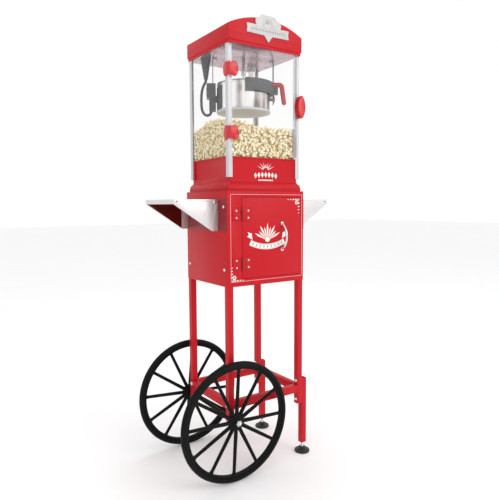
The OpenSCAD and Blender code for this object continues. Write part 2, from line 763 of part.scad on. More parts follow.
module kettle_pot() {
    kettle_frame() color([0.75, 0.75, 0.75]) {
        difference() {
            union() {
                translate([0, 0, pot_floor]) cylinder(r = pot_r, h = rim_up - pot_floor, $fn = 96);
                rod_x(pivot_r, 0, pivot_out, 0, 0);
                rod_x(hollow_r, -arm_h - arm_t + 0.5, 0, 0, 0);
            }
            translate([0, 0, pot_floor + pot_t]) cylinder(r = pot_r - pot_t, h = far, $fn = 96);
            rod_x(hollow_in, -far, -pot_r - 1, 0, 0);
        }
        difference() {
            translate([0, 0, pot_floor + pot_t - eps]) cylinder(r = rod_r + 4, h = 8);
            translate([0, 0, pot_floor + pot_t]) cylinder(r = rod_r + run_fit, h = 10);
        }
    }
}
module kettle_base_pan() {
    rim = pan_up - pot_floor;
    kettle_frame() color([0.82, 0.82, 0.82]) rotate_extrude($fn = 96) {
        arc = [for (i = [0 : 6]) [pan_r - pan_round + pan_round*sin(i*15), pan_low + pan_round - pan_round*cos(i*15)]];
        polygon(concat([[0, pan_low]], arc,
            [[pan_r, pan_up], [pot_r + 0.2, pan_up], [pot_r + 0.2, pan_up - rim], [0, pan_up - rim]]));
    }
}
module kettle_guard() {
    kettle_frame() color([0.1, 0.1, 0.1]) difference() {
        union() {
            translate([0, 0, guard_low]) difference() {
                cylinder(r = guard_in + guard_t, h = guard_up - guard_low, $fn = 96);
                translate([0, 0, -1]) cylinder(r = guard_in, h = far, $fn = 96);
                for (s = [-1, 1]) rotate([0, 0, s*guard_arc]) translate([-far, s > 0 ? 0 : -far, -1]) cube(far);
                translate([-far, -far/2, -1]) cube(far);
            }
            for (a = [-60, 0, 60]) rotate([0, 0, a]) rod_x(4, pot_r + 0.2, guard_in + 1, 0, guard_low + 10);
            block([guard_in + 1, -lug_w/2, lug_low], [lug_out, lug_w/2, stub_up - handle_r - lug_gap]);
        }
        translate([0, 0, -far/2]) cylinder(r = pot_r + 0.1, h = far, $fn = 96);
    }
}
module kettle_handle() {
    kettle_frame() color("red") {
        top_h = handle_h - grip_lean;
        drop = stub_up - grip_low;
        rod_x(handle_r, guard_in + guard_t, top_h, 0, stub_up);
        translate([top_h, 0, stub_up]) sphere(r = handle_r);
        translate([top_h, 0, stub_up]) rotate([0, 180 - atan(grip_lean/drop), 0])
            cylinder(r = handle_r, h = sqrt(drop*drop + grip_lean*grip_lean));
        translate([handle_h, 0, grip_low]) sphere(r = handle_r);
    }
}
module kettle_strap() {
    kettle_frame() color([0.6, 0.6, 0.6]) {
        difference() {
            intersection() {
                block([-pot_r, -strap_w/2, rim_up], [pot_r, strap_w/2, rim_up + strap_t]);
                translate([0, 0, rim_up - 1]) cylinder(r = pot_r, h = 10, $fn = 96);
            }
            translate([0, 0, rim_up - 1]) cylinder(r = rod_r + 2, h = 10);
        }
        for (sy = [-1, 1], x = [-lid_knuckle_x, lid_knuckle_x]) {
            y = sy*lid_pin_y;
            difference() {
                union() {
                    rod_x(lid_knuckle_r, x - 4, x + 4, y, lid_pin_up);
                    block([x - 4, min(y, sy*9), rim_up + strap_t - eps],
                        [x + 4, max(y, sy*9), rim_up + strap_t + 1.2]);
                }
                rod_x(lid_pin_r, x - 5, x + 5, y, lid_pin_up);
            }
            rod_x(lid_pin_r, x - 12, x + 12, y, lid_pin_up);
        }
    }
}
module lid(sy) {
    lid_in = lid_pin_y - 1.2;
    z = rim_up + 0.3;
    kettle_frame() color([0.7, 0.7, 0.7]) difference() {
        union() {
            intersection() {
                translate([0, 0, z]) cylinder(r = pot_r + 1, h = lid_t, $fn = 96);
                block([-far/2, sy > 0 ? lid_in : -far, z], [far/2, sy > 0 ? far : -lid_in, z + lid_t]);
            }
            for (x = [-lid_knuckle_x, lid_knuckle_x], d = [-8.3, 8.3]) {
                rod_x(lid_knuckle_r, x + d - 3.7, x + d + 3.7, sy*lid_pin_y, lid_pin_up);
                block([x + d - 3.7, sy*lid_pin_y - 1, z + lid_t - eps], [x + d + 3.7, sy*lid_pin_y + 1, lid_pin_up]);
            }
        }
        for (x = [-lid_knuckle_x, lid_knuckle_x])
            rod_x(lid_pin_r + run_fit, x - 14, x + 14, sy*lid_pin_y, lid_pin_up);
        for (x = [-lid_knuckle_x, lid_knuckle_x])
            block([x - 4.4, sy > 0 ? 0 : -lid_pin_y - 3.5, z - 1], [x + 4.4, sy > 0 ? lid_pin_y + 3.5 : 0, z + lid_t + 1]);
    }
}
module lid_front() { lid(-1); }
module lid_rear() { lid(1); }
module stirrer() {
    kettle_frame() color([0.7, 0.7, 0.7]) {
        translate([0, 0, pot_floor + pot_t + 0.5]) cylinder(r = rod_r, h = coupling_up - pot_floor - pot_t - 0.5);
        translate([0, 0, coupling_up - 6]) cylinder(r = coupling_r, h = 6);
        block([-paddle_len, -1.5, paddle_up], [paddle_len, 1.5, paddle_up + 10]);
        rotate([0, 0, 90]) block([-paddle_len*0.7, -1.5, paddle_up], [paddle_len*0.7, 1.5, paddle_up + 6]);
    }
}
module drive_shaft() {
    low = coupling_up + coupling_gap;
    kettle_frame() color([0.6, 0.6, 0.6]) {
        translate([0, 0, low]) cylinder(r = coupling_r, h = 7);
        translate([0, 0, low]) cylinder(r = rod_r + 1, h = kettle_drop + ceil_t + 10 - low);
    }
}
module drive_motor() {
    kettle_frame() color([0.3, 0.3, 0.32]) translate([0, 0, kettle_drop + ceil_t]) difference() {
        union() {
            translate([-motor[0]/2 + 15, -motor[1]/2, 0]) cube(motor);
            translate([-motor[0]/2 + 15, 0, motor[2]/2]) rotate([0, -90, 0]) cylinder(r = 20, h = 34);
        }
        translate([0, 0, -1]) cylinder(r = rod_r + 1 + run_fit, h = 14);
    }
}
module kettle_connector() {
    f = block_fit;
    kettle_frame() color([0.1, 0.1, 0.1]) difference() {
        union() {
            block([-block_out, -block_hw, block_mid], [-block_in, block_hw, block_up]);
            block([-block_step, -block_hw + 3, block_low], [-block_in, block_hw - 3, block_mid + 1]);
        }
        rod_x(hollow_r + 1, -arm_h - arm_t - f, 0, 0, 0);
        rod_x(hollow_r + 4 + f, -arm_h - arm_t - f, -arm_h + f, 0, 0);
        block([-arm_h - arm_t - f, -arm_w/2 - f, 0], [-arm_h + f, arm_w/2 + f, block_up + 1]);
    }
}
// A round tube along points that lie in the XZ plane
function unit(v) = v/norm(v);
module flat_tube(pts, r, sides) {
    n = len(pts);
    rings = [for (i = [0 : n - 1])
        let(t = unit(pts[min(i + 1, n - 1)] - pts[max(i - 1, 0)]))
        [for (k = [0 : sides - 1]) let(a = 360*k/sides)
            [pts[i][0] - t[1]*r*cos(a), r*sin(a), pts[i][1] + t[0]*r*cos(a)]]];
    verts = [for (g = rings, p = g) p];
    walls = [for (i = [0 : n - 2], k = [0 : sides - 1])
        [i*sides + k, i*sides + (k + 1)%sides, (i + 1)*sides + (k + 1)%sides, (i + 1)*sides + k]];
    polyhedron(verts, concat(walls, [[for (k = [sides - 1 : -1 : 0]) k],
        [for (k = [0 : sides - 1]) (n - 1)*sides + k]]));
}
module kettle_lead() {
    kettle_frame() color([0.12, 0.12, 0.12]) flat_tube(lead_route, lead_d/2, 12);
}
module strain_relief() {
    kettle_frame() color([0.1, 0.1, 0.1]) translate([relief_x, 0, kettle_drop - relief_len])
        cylinder(r1 = relief_end_r, r2 = relief_top_r, h = relief_len);
}
module lamp() {
    placed() translate([lamp_xy[0], lamp_xy[1], ceil_z - lamp_len]) {
        color("white") rotate_extrude() polygon([[0, 0], [lamp_r - 4, 0], [lamp_r - 1, 1.5], [lamp_r, 5],
            [lamp_r, lamp_len - 16], [0, lamp_len - 16]]);
        color("silver") translate([0, 0, lamp_len - 16]) cylinder(r = lamp_r + 2, h = 16);
    }
}

// ---------- rear switches ----------
module rocker(i) {
    placed() translate([rocker_xs[i], base_d/2 - rocker_in, rocker_z]) rotate([rocker_rest, 0, 0])
        color([0.1, 0.1, 0.1]) difference() {
            intersection() {
                rod_x(rocker_r, -rocker_w/2, rocker_w/2, 0, 0);
                block([-rocker_w/2, -3, -rocker_r], [rocker_w/2, rocker_r, rocker_r]);
            }
            translate([-rocker_w, rocker_r + 3, 0]) rotate([0, 90, 0]) cylinder(r = 5.5, h = 2*rocker_w);
        }
}
module rocker_heat() { rocker(0); }
module rocker_light() { rocker(1); }
module power_inlet() {
    y = base_d/2;
    hole = [24, 16];
    placed() color([0.1, 0.1, 0.1]) difference() {
        union() {
            block([inlet_x - inlet_w/2, y, rocker_z - inlet_h/2], [inlet_x + inlet_w/2, y + 2.5, rocker_z + inlet_h/2]);
            block([inlet_x - inlet_w/2 + 7, y - 22, rocker_z - 8.5], [inlet_x + inlet_w/2 - 7, y + eps, rocker_z + 8.5]);
        }
        block([inlet_x - hole[0]/2, y - 15, rocker_z - hole[1]/2 + 1.5], [inlet_x + hole[0]/2, far, rocker_z + hole[1]/2 - 1.5]);
    }
    placed() color([0.7, 0.7, 0.7]) for (dx = [-6, 0, 6])
        rod_y(1.5, y - 16, y - 2, inlet_x + dx, rocker_z + (dx == 0 ? 2 : -1));
}

leg_front_left();
leg_front_right();
leg_back_left();
leg_back_right();
rail_front();
rail_back();
side_rails();
foot_leg_front();
foot_leg_back();
levelling_foot_front();
levelling_foot_back();
axle();
wheel_front();
tyre_front();
wheel_back();
tyre_back();
frame_fasteners();
cabinet_shell();
cabinet_front_frame();
cabinet_top();
cart_door();
door_hinges_fixed();
door_hinge_leaves();
door_pull();
shelf_wall_plates();
shelf_pins();
shelf_left();
shelf_right();
machine_base();
popcorn_tray();
popcorn();
corner_posts();
glass_left();
glass_right();
glass_back();
glass_door();
glass_door_clips();
glass_door_hinges();
glass_door_knob();
canopy();
plaque();
ceiling_panel();
hanger_arms();
kettle_pot();
kettle_base_pan();
kettle_guard();
kettle_handle();
kettle_strap();
lid_front();
lid_rear();
stirrer();
drive_shaft();
drive_motor();
kettle_connector();
kettle_lead();
strain_relief();
lamp();
rocker_heat();
rocker_light();
power_inlet();
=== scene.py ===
"""Looks of a popcorn cart: a glass-sided popcorn machine on a red two-wheeled cart.

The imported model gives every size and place. Each class below dresses one sub-assembly of it.
Places are in metres; radii, outlines, widths and thicknesses are in millimetres.
"""
import sys
import json
import logging
import math
import random
from collections.abc import Sequence
from dataclasses import dataclass
from enum import Enum

import bmesh
import bpy
from mathutils import Matrix, Vector
from mathutils.bvhtree import BVHTree


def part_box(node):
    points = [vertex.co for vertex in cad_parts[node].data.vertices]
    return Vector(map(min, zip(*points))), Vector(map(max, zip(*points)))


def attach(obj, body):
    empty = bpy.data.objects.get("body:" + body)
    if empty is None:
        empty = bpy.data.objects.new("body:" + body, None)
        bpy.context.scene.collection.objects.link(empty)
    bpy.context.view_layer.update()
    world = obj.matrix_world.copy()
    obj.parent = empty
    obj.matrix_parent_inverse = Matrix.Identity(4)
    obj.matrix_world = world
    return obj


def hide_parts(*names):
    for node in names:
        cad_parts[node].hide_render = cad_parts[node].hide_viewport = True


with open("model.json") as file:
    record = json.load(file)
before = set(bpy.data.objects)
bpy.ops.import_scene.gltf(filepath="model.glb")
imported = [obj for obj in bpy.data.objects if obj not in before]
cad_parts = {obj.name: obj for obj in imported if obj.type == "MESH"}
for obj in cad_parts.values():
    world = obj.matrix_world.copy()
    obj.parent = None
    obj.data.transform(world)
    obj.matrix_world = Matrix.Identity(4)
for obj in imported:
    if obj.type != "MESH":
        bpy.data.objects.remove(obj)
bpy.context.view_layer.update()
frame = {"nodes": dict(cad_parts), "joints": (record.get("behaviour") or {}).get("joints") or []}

LOG = logging.getLogger("popcorn_cart")
MM = 0.001
RIGHT, BACK, UP, FRONT = (1, 0, 0), (0, 1, 0), (0, 0, 1), (0, -1, 0)
MIX_INPUTS = (0, 6, 7)  # factor and two colours of a colour Mix node
MIX_RESULT = 2
Colour = tuple[float, float, float]
Point = tuple[float, float, float]
Outline = list[tuple[float, float]]


class Body(Enum):
    """The bodies that pieces ride on."""

    ROOT = "root"
    FRONT_WHEEL = "front_wheel"
    BACK_WHEEL = "back_wheel"
    FRONT_FOOT = "front_foot"
    BACK_FOOT = "back_foot"
    CABINET_DOOR = "cabinet_door"
    LEFT_SHELF = "left_shelf"
    RIGHT_SHELF = "right_shelf"
    CASE_DOOR = "case_door"
    KETTLE = "kettle"
    FRONT_LID = "front_lid"
    REAR_LID = "rear_lid"
    STIRRER = "kettle_stirrer"
    DRIVE = "drive"
    HEAT_SWITCH = "heat_switch"
    LIGHT_SWITCH = "light_switch"


# ---------------------------------------------------------------- shader maths


class Sock:
    """A shader socket that adds Math nodes when it is used in an expression."""

    def __init__(self, graph: "Graph", socket: bpy.types.NodeSocket) -> None:
        """Wraps one output socket of a graph."""
        self.graph = graph
        self.socket = socket

    def _math(self, operation: str, first: object, second: object) -> "Sock":
        """The output of a Math node with two values or links."""
        return self.graph.node("ShaderNodeMath", {"operation": operation}, {0: first, 1: second})

    def __add__(self, other: object) -> "Sock":
        """This plus other."""
        return self._math("ADD", self, other)

    def __sub__(self, other: object) -> "Sock":
        """This minus other."""
        return self._math("SUBTRACT", self, other)

    def __rsub__(self, other: object) -> "Sock":
        """Other minus this."""
        return self._math("SUBTRACT", other, self)

    def __mul__(self, other: object) -> "Sock":
        """This times other."""
        return self._math("MULTIPLY", self, other)

    def above(self, level: float) -> "Sock":
        """1 where this is over level, and 0 elsewhere."""
        return self._math("GREATER_THAN", self, level)

    def clamped(self) -> "Sock":
        """This, kept between 0 and 1."""
        return self.graph.node("ShaderNodeClamp", inputs={0: self})


class Graph:
    """One material and its node tree."""

    def __init__(self, name: str) -> None:
        """Starts a material with a Principled shader and an output."""
        self.material = bpy.data.materials.new(name)
        self.material.use_nodes = True
        self.tree = self.material.node_tree
        self.tree.nodes.clear()
        out = self.tree.nodes.new("ShaderNodeOutputMaterial")
        self.shader = self.tree.nodes.new("ShaderNodeBsdfPrincipled")
        self.tree.links.new(self.shader.outputs[0], out.inputs[0])

    def put(self, socket: bpy.types.NodeSocket, value: object) -> None:
        """Links or sets one input socket."""
        if isinstance(value, Sock):
            self.tree.links.new(value.socket, socket)
        elif isinstance(value, tuple) and len(value) == 3 and socket.type == "RGBA":
            socket.default_value = (*value, 1.0)
        else:
            socket.default_value = value

    def node(self, kind: str, settings: dict | None = None, inputs: dict | None = None,
             output: int | str = 0) -> Sock:
        """Adds any node.

        Args:
            kind: the node's type.
            settings: its properties.
            inputs: values or links by socket name or number.
            output: the output that is returned.

        Returns:
            The wrapped output.
        """
        made = self.tree.nodes.new(kind)
        for key, value in (settings or {}).items():
            setattr(made, key, value)
        for key, value in (inputs or {}).items():
            self.put(made.inputs[key], value)
        return Sock(self, made.outputs[output])

    def noise(self, scale: float, detail: float = 3.0, stretch: Point = (1.0, 1.0, 1.0)) -> Sock:
        """A noise value from 0 to 1, at scale features a metre of the stretched object."""
        coords = self.node("ShaderNodeTexCoord", output="Object")
        place = self.node("ShaderNodeMapping", inputs={"Vector": coords, "Scale": stretch})
        return self.node("ShaderNodeTexNoise", output="Fac",
                         inputs={"Vector": place, "Scale": scale, "Detail": detail})

    def mix(self, mask: object, low: object, high: object) -> Sock:
        """Colours low to high by mask."""
        inputs = dict(zip(MIX_INPUTS, (mask, low, high)))
        return self.node("ShaderNodeMix", {"data_type": "RGBA"}, inputs, MIX_RESULT)

    def bump(self, height: Sock, strength: float, distance: float) -> None:
        """Feeds height to the shader's normal."""
        inputs = {"Height": height, "Strength": strength, "Distance": distance}
        self.put(self.shader.inputs["Normal"],
                 self.node("ShaderNodeBump", inputs=inputs, output="Normal"))

    def set(self, **sockets: object) -> None:
        """Sets the shader's sockets by name, with _ for a space."""
        for name, value in sockets.items():
            self.put(self.shader.inputs[name.replace("_", " ")], value)


# ---------------------------------------------------------------- finishes


@dataclass(frozen=True)
class Recipe:
    """A finish that varies between two colours."""

    name: str
    colour: Colour
    shade: Colour

    def fill(self, graph: Graph) -> None:
        """Sets the shader of the finish's material."""
        raise NotImplementedError

    def make(self) -> bpy.types.Material:
        """Builds the material."""
        graph = Graph(self.name)
        self.fill(graph)
        return graph.material


@dataclass(frozen=True)
class Paint(Recipe):
    """Sprayed paint with a faint orange peel and uneven gloss."""

    gloss: float = 0.45
    coat: float = 0.1
    shine: float = 0.5

    def fill(self, graph: Graph) -> None:
        """Clouds, specks and faint scuffs."""
        cloud = graph.noise(9.0, 2.0)
        speck = graph.noise(650.0, 2.0)
        scuff = graph.noise(60.0, 6.0, (1.0, 1.0, 5.0)).above(0.72)
        graph.set(Base_Color=graph.mix(cloud * 0.55 + speck * 0.15, self.colour, self.shade),
                  Roughness=cloud * 0.08 + speck * 0.05 + scuff * 0.06 + self.gloss,
                  Coat_Weight=self.coat, Coat_Roughness=0.08, Specular_IOR_Level=self.shine)
        graph.bump(graph.noise(420.0, 2.0), 0.05, 0.0006)


@dataclass(frozen=True)
class Metal(Recipe):
    """Bare or plated metal with brush lines along one direction; with a high contrast the same
    lines become painted reflection bands.
    """

    roughness: float
    stretch: Point = (1.0, 1.0, 1.0)
    scale: float = 300.0
    relief: float = 0.05
    metallic: float = 1.0
    contrast: float = 1.0

    def fill(self, graph: Graph) -> None:
        """Brush lines over slow clouds, which the kettle's and the ceiling's finishes stretch into
        painted reflection bands.
        """
        lines = graph.noise(self.scale, 4.0, self.stretch)
        cloud = graph.noise(14.0, 2.0)
        band = ((lines - 0.5) * self.contrast + cloud * 0.3 + 0.3).clamped()
        graph.set(Base_Color=graph.mix(band, self.colour, self.shade), Metallic=self.metallic,
                  Roughness=lines * 0.12 + cloud * 0.08 + self.roughness)
        graph.bump(lines, self.relief, 0.0003)


@dataclass(frozen=True)
class Plastic(Recipe):
    """Moulded plastic or rubber with a fine grain."""

    roughness: float
    grain: float = 900.0
    relief: float = 0.08
    coat: float = 0.0
    shine: float = 0.35

    def fill(self, graph: Graph) -> None:
        """Grain over soft clouds."""
        grain = graph.noise(self.grain, 3.0)
        cloud = graph.noise(25.0, 3.0)
        graph.set(Base_Color=graph.mix(cloud * 0.7 + grain * 0.2, self.colour, self.shade),
                  Roughness=cloud * 0.1 + grain * 0.06 + self.roughness,
                  Coat_Weight=self.coat, Coat_Roughness=0.1, Specular_IOR_Level=self.shine)
        graph.bump(grain, self.relief, 0.0004)


@dataclass(frozen=True)
class Glass(Recipe):
    """Thin clear glass: mostly see-through, with faint smears of the second colour."""

    alpha: float

    def fill(self, graph: Graph) -> None:
        """Smears that are a little rougher and denser."""
        smear = graph.noise(18.0, 5.0, (1.0, 1.0, 0.4))
        graph.set(Base_Color=graph.mix(smear, self.colour, self.shade), Specular_IOR_Level=0.5,
                  Roughness=smear * 0.05 + 0.02, Alpha=smear * 0.03 + self.alpha)


@dataclass(frozen=True)
class Popcorn(Recipe):
    """Popped corn: cream flakes, darker golden in the hollows between lobes as painted shade and in
    random patches, with a few brown hull marks.
    """

    hull: Colour

    def fill(self, graph: Graph) -> None:
        """Darker golden colour where the kernel's puff value is low, as painted shade in the
        hollows, and in random patches, with hull marks on top.
        """
        puff = graph.node("ShaderNodeAttribute", {"attribute_name": "puff"}, output="Fac")
        patch = graph.noise(70.0, 2.0)
        fine = graph.noise(420.0, 4.0)
        spot = graph.noise(150.0, 2.0)
        # The puff term is painted shade between the lobes; the patch term is random golden tone.
        hollow_shade = ((0.56 - puff) * 2.8 + (patch - 0.5) * 2.4).clamped()
        body = graph.mix(hollow_shade, self.colour, self.shade)
        graph.set(Base_Color=graph.mix(((spot - 0.64) * 12.0).clamped(), body, self.hull),
                  Roughness=fine * 0.2 + 0.55, Subsurface_Weight=0.12, Subsurface_Scale=0.004,
                  Subsurface_Radius=(1.0, 0.75, 0.4))
        graph.bump(fine, 0.5, 0.0012)


@dataclass(frozen=True)
class LampGlow(Recipe):
    """A frosted lamp that glows softly."""

    strength: float

    def fill(self, graph: Graph) -> None:
        """Frost in colour, gloss and glow."""
        frost = graph.noise(500.0, 2.0)
        tone = graph.mix(frost, self.colour, self.shade)
        graph.set(Base_Color=tone, Roughness=frost * 0.2 + 0.3, Emission_Color=tone,
                  Emission_Strength=self.strength)


class Finish(Enum):
    """The finishes of the cart, each with the record's slot it belongs to."""

    RED = ("red_paint", Paint("red_gloss", (0.55, 0.006, 0.014), (0.46, 0.005, 0.011),
                              gloss=0.34, coat=0.0, shine=0.2))
    # Darker red: the base's seam, and painted shade on the hinge barrels, the shelves' wall plates
    # and below the base's beads.
    DARK_RED = ("dark_red_paint", Paint("dark_red", (0.28, 0.01, 0.014), (0.19, 0.006, 0.01),
                                        gloss=0.34, shine=0.3))
    BLACK = ("black_paint", Paint("black_satin", (0.006, 0.007, 0.007), (0.003, 0.003, 0.003),
                                  gloss=0.36, coat=0.0, shine=0.1))
    LINE = ("red_paint", Paint("pale_pinstripe", (0.8, 0.5, 0.46), (0.72, 0.42, 0.4)))
    PRINT = ("white_aluminium", Paint("cream_print", (0.88, 0.83, 0.78), (0.8, 0.74, 0.7)))
    GREY_PRINT = ("pewter", Paint("grey_print", (0.36, 0.33, 0.33), (0.28, 0.26, 0.26)))
    TYRE = ("tyre", Plastic("tyre_rubber", (0.007, 0.008, 0.008), (0.003, 0.003, 0.003), 0.42,
                            grain=600.0, relief=0.1, shine=0.1))
    RED_PLASTIC = ("red_plastic", Plastic("red_moulding", (0.62, 0.006, 0.014),
                                          (0.5, 0.004, 0.01), 0.24, 500.0, 0.03, coat=0.3))
    GREY_PLASTIC = ("black_plastic", Plastic("charcoal_moulding", (0.075, 0.08, 0.08),
                                             (0.05, 0.052, 0.054), 0.42))
    BLACK_PLASTIC = ("black_plastic", Plastic("black_moulding", (0.022, 0.023, 0.023),
                                              (0.012, 0.012, 0.012), 0.45))
    BLACK_RUBBER = ("black_rubber", Plastic("lead_rubber", (0.06, 0.062, 0.064),
                                            (0.035, 0.036, 0.038), 0.5))
    GLASS = ("glass", Glass("case_glass", (0.93, 0.96, 0.96), (0.97, 0.985, 0.98), alpha=0.025))
    FROST = ("glass", Glass("frosted_edge", (0.4, 0.37, 0.38), (0.34, 0.32, 0.33), alpha=0.5))
    POPCORN = ("popcorn", Popcorn("popped_corn", (0.93, 0.86, 0.64), (0.84, 0.66, 0.34),
                                  hull=(0.34, 0.18, 0.06)))
    LAMP = ("lamp_glass", LampGlow("lamp_frost", (0.9, 0.8, 0.74), (1.0, 1.0, 1.0), 0.25))
    ZINC = ("zinc", Metal("bright_zinc", (0.82, 0.82, 0.82), (0.6, 0.6, 0.6), 0.16, scale=120.0))
    STAINLESS = ("stainless", Metal("brushed_stainless", (0.8, 0.79, 0.78), (0.6, 0.59, 0.59),
                                    0.3, (1.0, 14.0, 1.0), 160.0, metallic=0.6))
    # Dark red streaked sheets inside the shelves' cheeks: painted shade and painted reflection.
    LINER = ("stainless", Metal("painted_shade_liner", (0.3, 0.05, 0.035), (0.14, 0.02, 0.016), 0.22,
                                (1.0, 6.0, 1.0), 20.0))
    WHITE = ("white_aluminium", Metal("pale_aluminium", (0.64, 0.64, 0.65), (0.5, 0.5, 0.52),
                                      0.36, (12.0, 12.0, 0.6), 120.0, 0.03, metallic=0.2))
    # Colour in upright bands from near white to dark brown: painted reflections of the studio on
    # the pot, beads, lids, stirrer and drive shaft.
    KETTLE = ("kettle_steel", Metal("spun_steel_painted_reflection", (0.92, 0.9, 0.88), (0.17, 0.145, 0.14), 0.18,
                                    (1.0, 1.0, 0.01), 19.0, 0.0, contrast=6.0))
    PAN = ("kettle_steel", Metal("dull_aluminium", (0.62, 0.64, 0.69), (0.5, 0.52, 0.56), 0.5,
                                 (1.0, 1.0, 12.0), 60.0, metallic=0.15))
    # Pink colour with streaks: a painted reflection of the red canopy in the polished sheet.
    CEILING = ("mirror_ceiling", Metal("ceiling_sheet_painted_reflection", (0.6, 0.42, 0.45), (0.36, 0.23, 0.26),
                                       0.16, (0.2, 3.0, 1.0), 9.0, 0.0, 0.7, contrast=1.4))
    PEWTER = ("pewter", Metal("cast_pewter", (0.62, 0.61, 0.6), (0.44, 0.43, 0.42), 0.45,
                              scale=160.0, relief=0.2, metallic=0.3))
    DARK_STEEL = ("dark_steel", Metal("oiled_steel", (0.34, 0.33, 0.33), (0.2, 0.2, 0.2), 0.34,
                                      scale=90.0))

    def material(self) -> bpy.types.Material:
        """The finish's material, built the first time."""
        found = bpy.data.materials.get(self.value[1].name)
        return found or self.value[1].make()


# ---------------------------------------------------------------- outlines and places


def mm(x: float, y: float, z: float) -> Vector:
    """A step given in millimetres."""
    return Vector((x * MM, y * MM, z * MM))


def middle(node: str) -> Vector:
    """The middle of a node's box."""
    low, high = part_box(node)
    return (low + high) / 2


def pivot(joint: str) -> Vector:
    """A joint's place."""
    return Vector(next(j for j in frame["joints"] if j["name"] == joint)["pos_m"])


def held(value: float, low: float, high: float) -> float:
    """The value, kept between low and high."""
    return min(max(value, low), high)


def angles(start: float, step: float, count: int) -> list[float]:
    """Angles in radians from start, each step degrees on."""
    return [math.radians(start + step * n) for n in range(count)]


def polar(reach: float, angle: float, lift: float = 0.0) -> tuple[float, float]:
    """A point at reach from the origin, angle radians from upright, then lifted."""
    return reach * math.sin(angle), reach * math.cos(angle) + lift


def oval(count: int, wide: float, tall: float, x: float = 0.0, y: float = 0.0,
         lean: float = 0.0) -> Outline:
    """An oval of count points about (x, y), leaning by a phase in radians."""
    return [(x + wide * math.cos(a), y + tall * math.sin(a + lean))
            for a in [math.tau * n / count for n in range(count)]]


def half_round(out: float, rise: float, steps: int = 6) -> Outline:
    """A half oval that bulges outwards, from its foot to its top."""
    return [(out * math.cos(a), rise * math.sin(a)) for a in angles(-90, 180 / steps, steps + 1)]


def lozenge(wide: float, tall: float, x: float = 0.0, y: float = 0.0) -> Outline:
    """A diamond with half its width and height given."""
    return [(x - wide, y), (x, y - tall), (x + wide, y), (x, y + tall)]


def bar(x0: float, x1: float, y0: float, y1: float) -> Outline:
    """An upright rectangle."""
    return [(x0, y0), (x1, y0), (x1, y1), (x0, y1)]


def ray(angle: float, half: float, root: float, tip: float) -> Outline:
    """A pointed ray at angle radians, half degrees wide each way at its root."""
    w = math.radians(half)
    return [polar(root, angle - w), polar(root, angle + w), polar(tip, angle)]


def mirrored(half: Outline) -> Outline:
    """A profile followed by its own mirror image across height 0."""
    return [*half, *((r, -z) for r, z in reversed(half))]


# ---------------------------------------------------------------- shapes


def link(made: bpy.types.Object) -> bpy.types.Object:
    """Puts an object into the scene."""
    bpy.context.scene.collection.objects.link(made)
    return made


def aimed(axis: Sequence[float]) -> Matrix:
    """The turn that takes Z to an axis."""
    return Vector(axis).to_track_quat("Z", "Y").to_matrix().to_4x4()


def bevel(part: bmesh.types.BMesh, edges: Sequence[bmesh.types.BMEdge], width: float,
          segments: int = 2) -> None:
    """Rounds edges by width."""
    bmesh.ops.bevel(part, geom=edges, offset=width * MM, offset_type="OFFSET", segments=segments,
                    profile=0.5, affect="EDGES", clamp_overlap=True, material=-1)


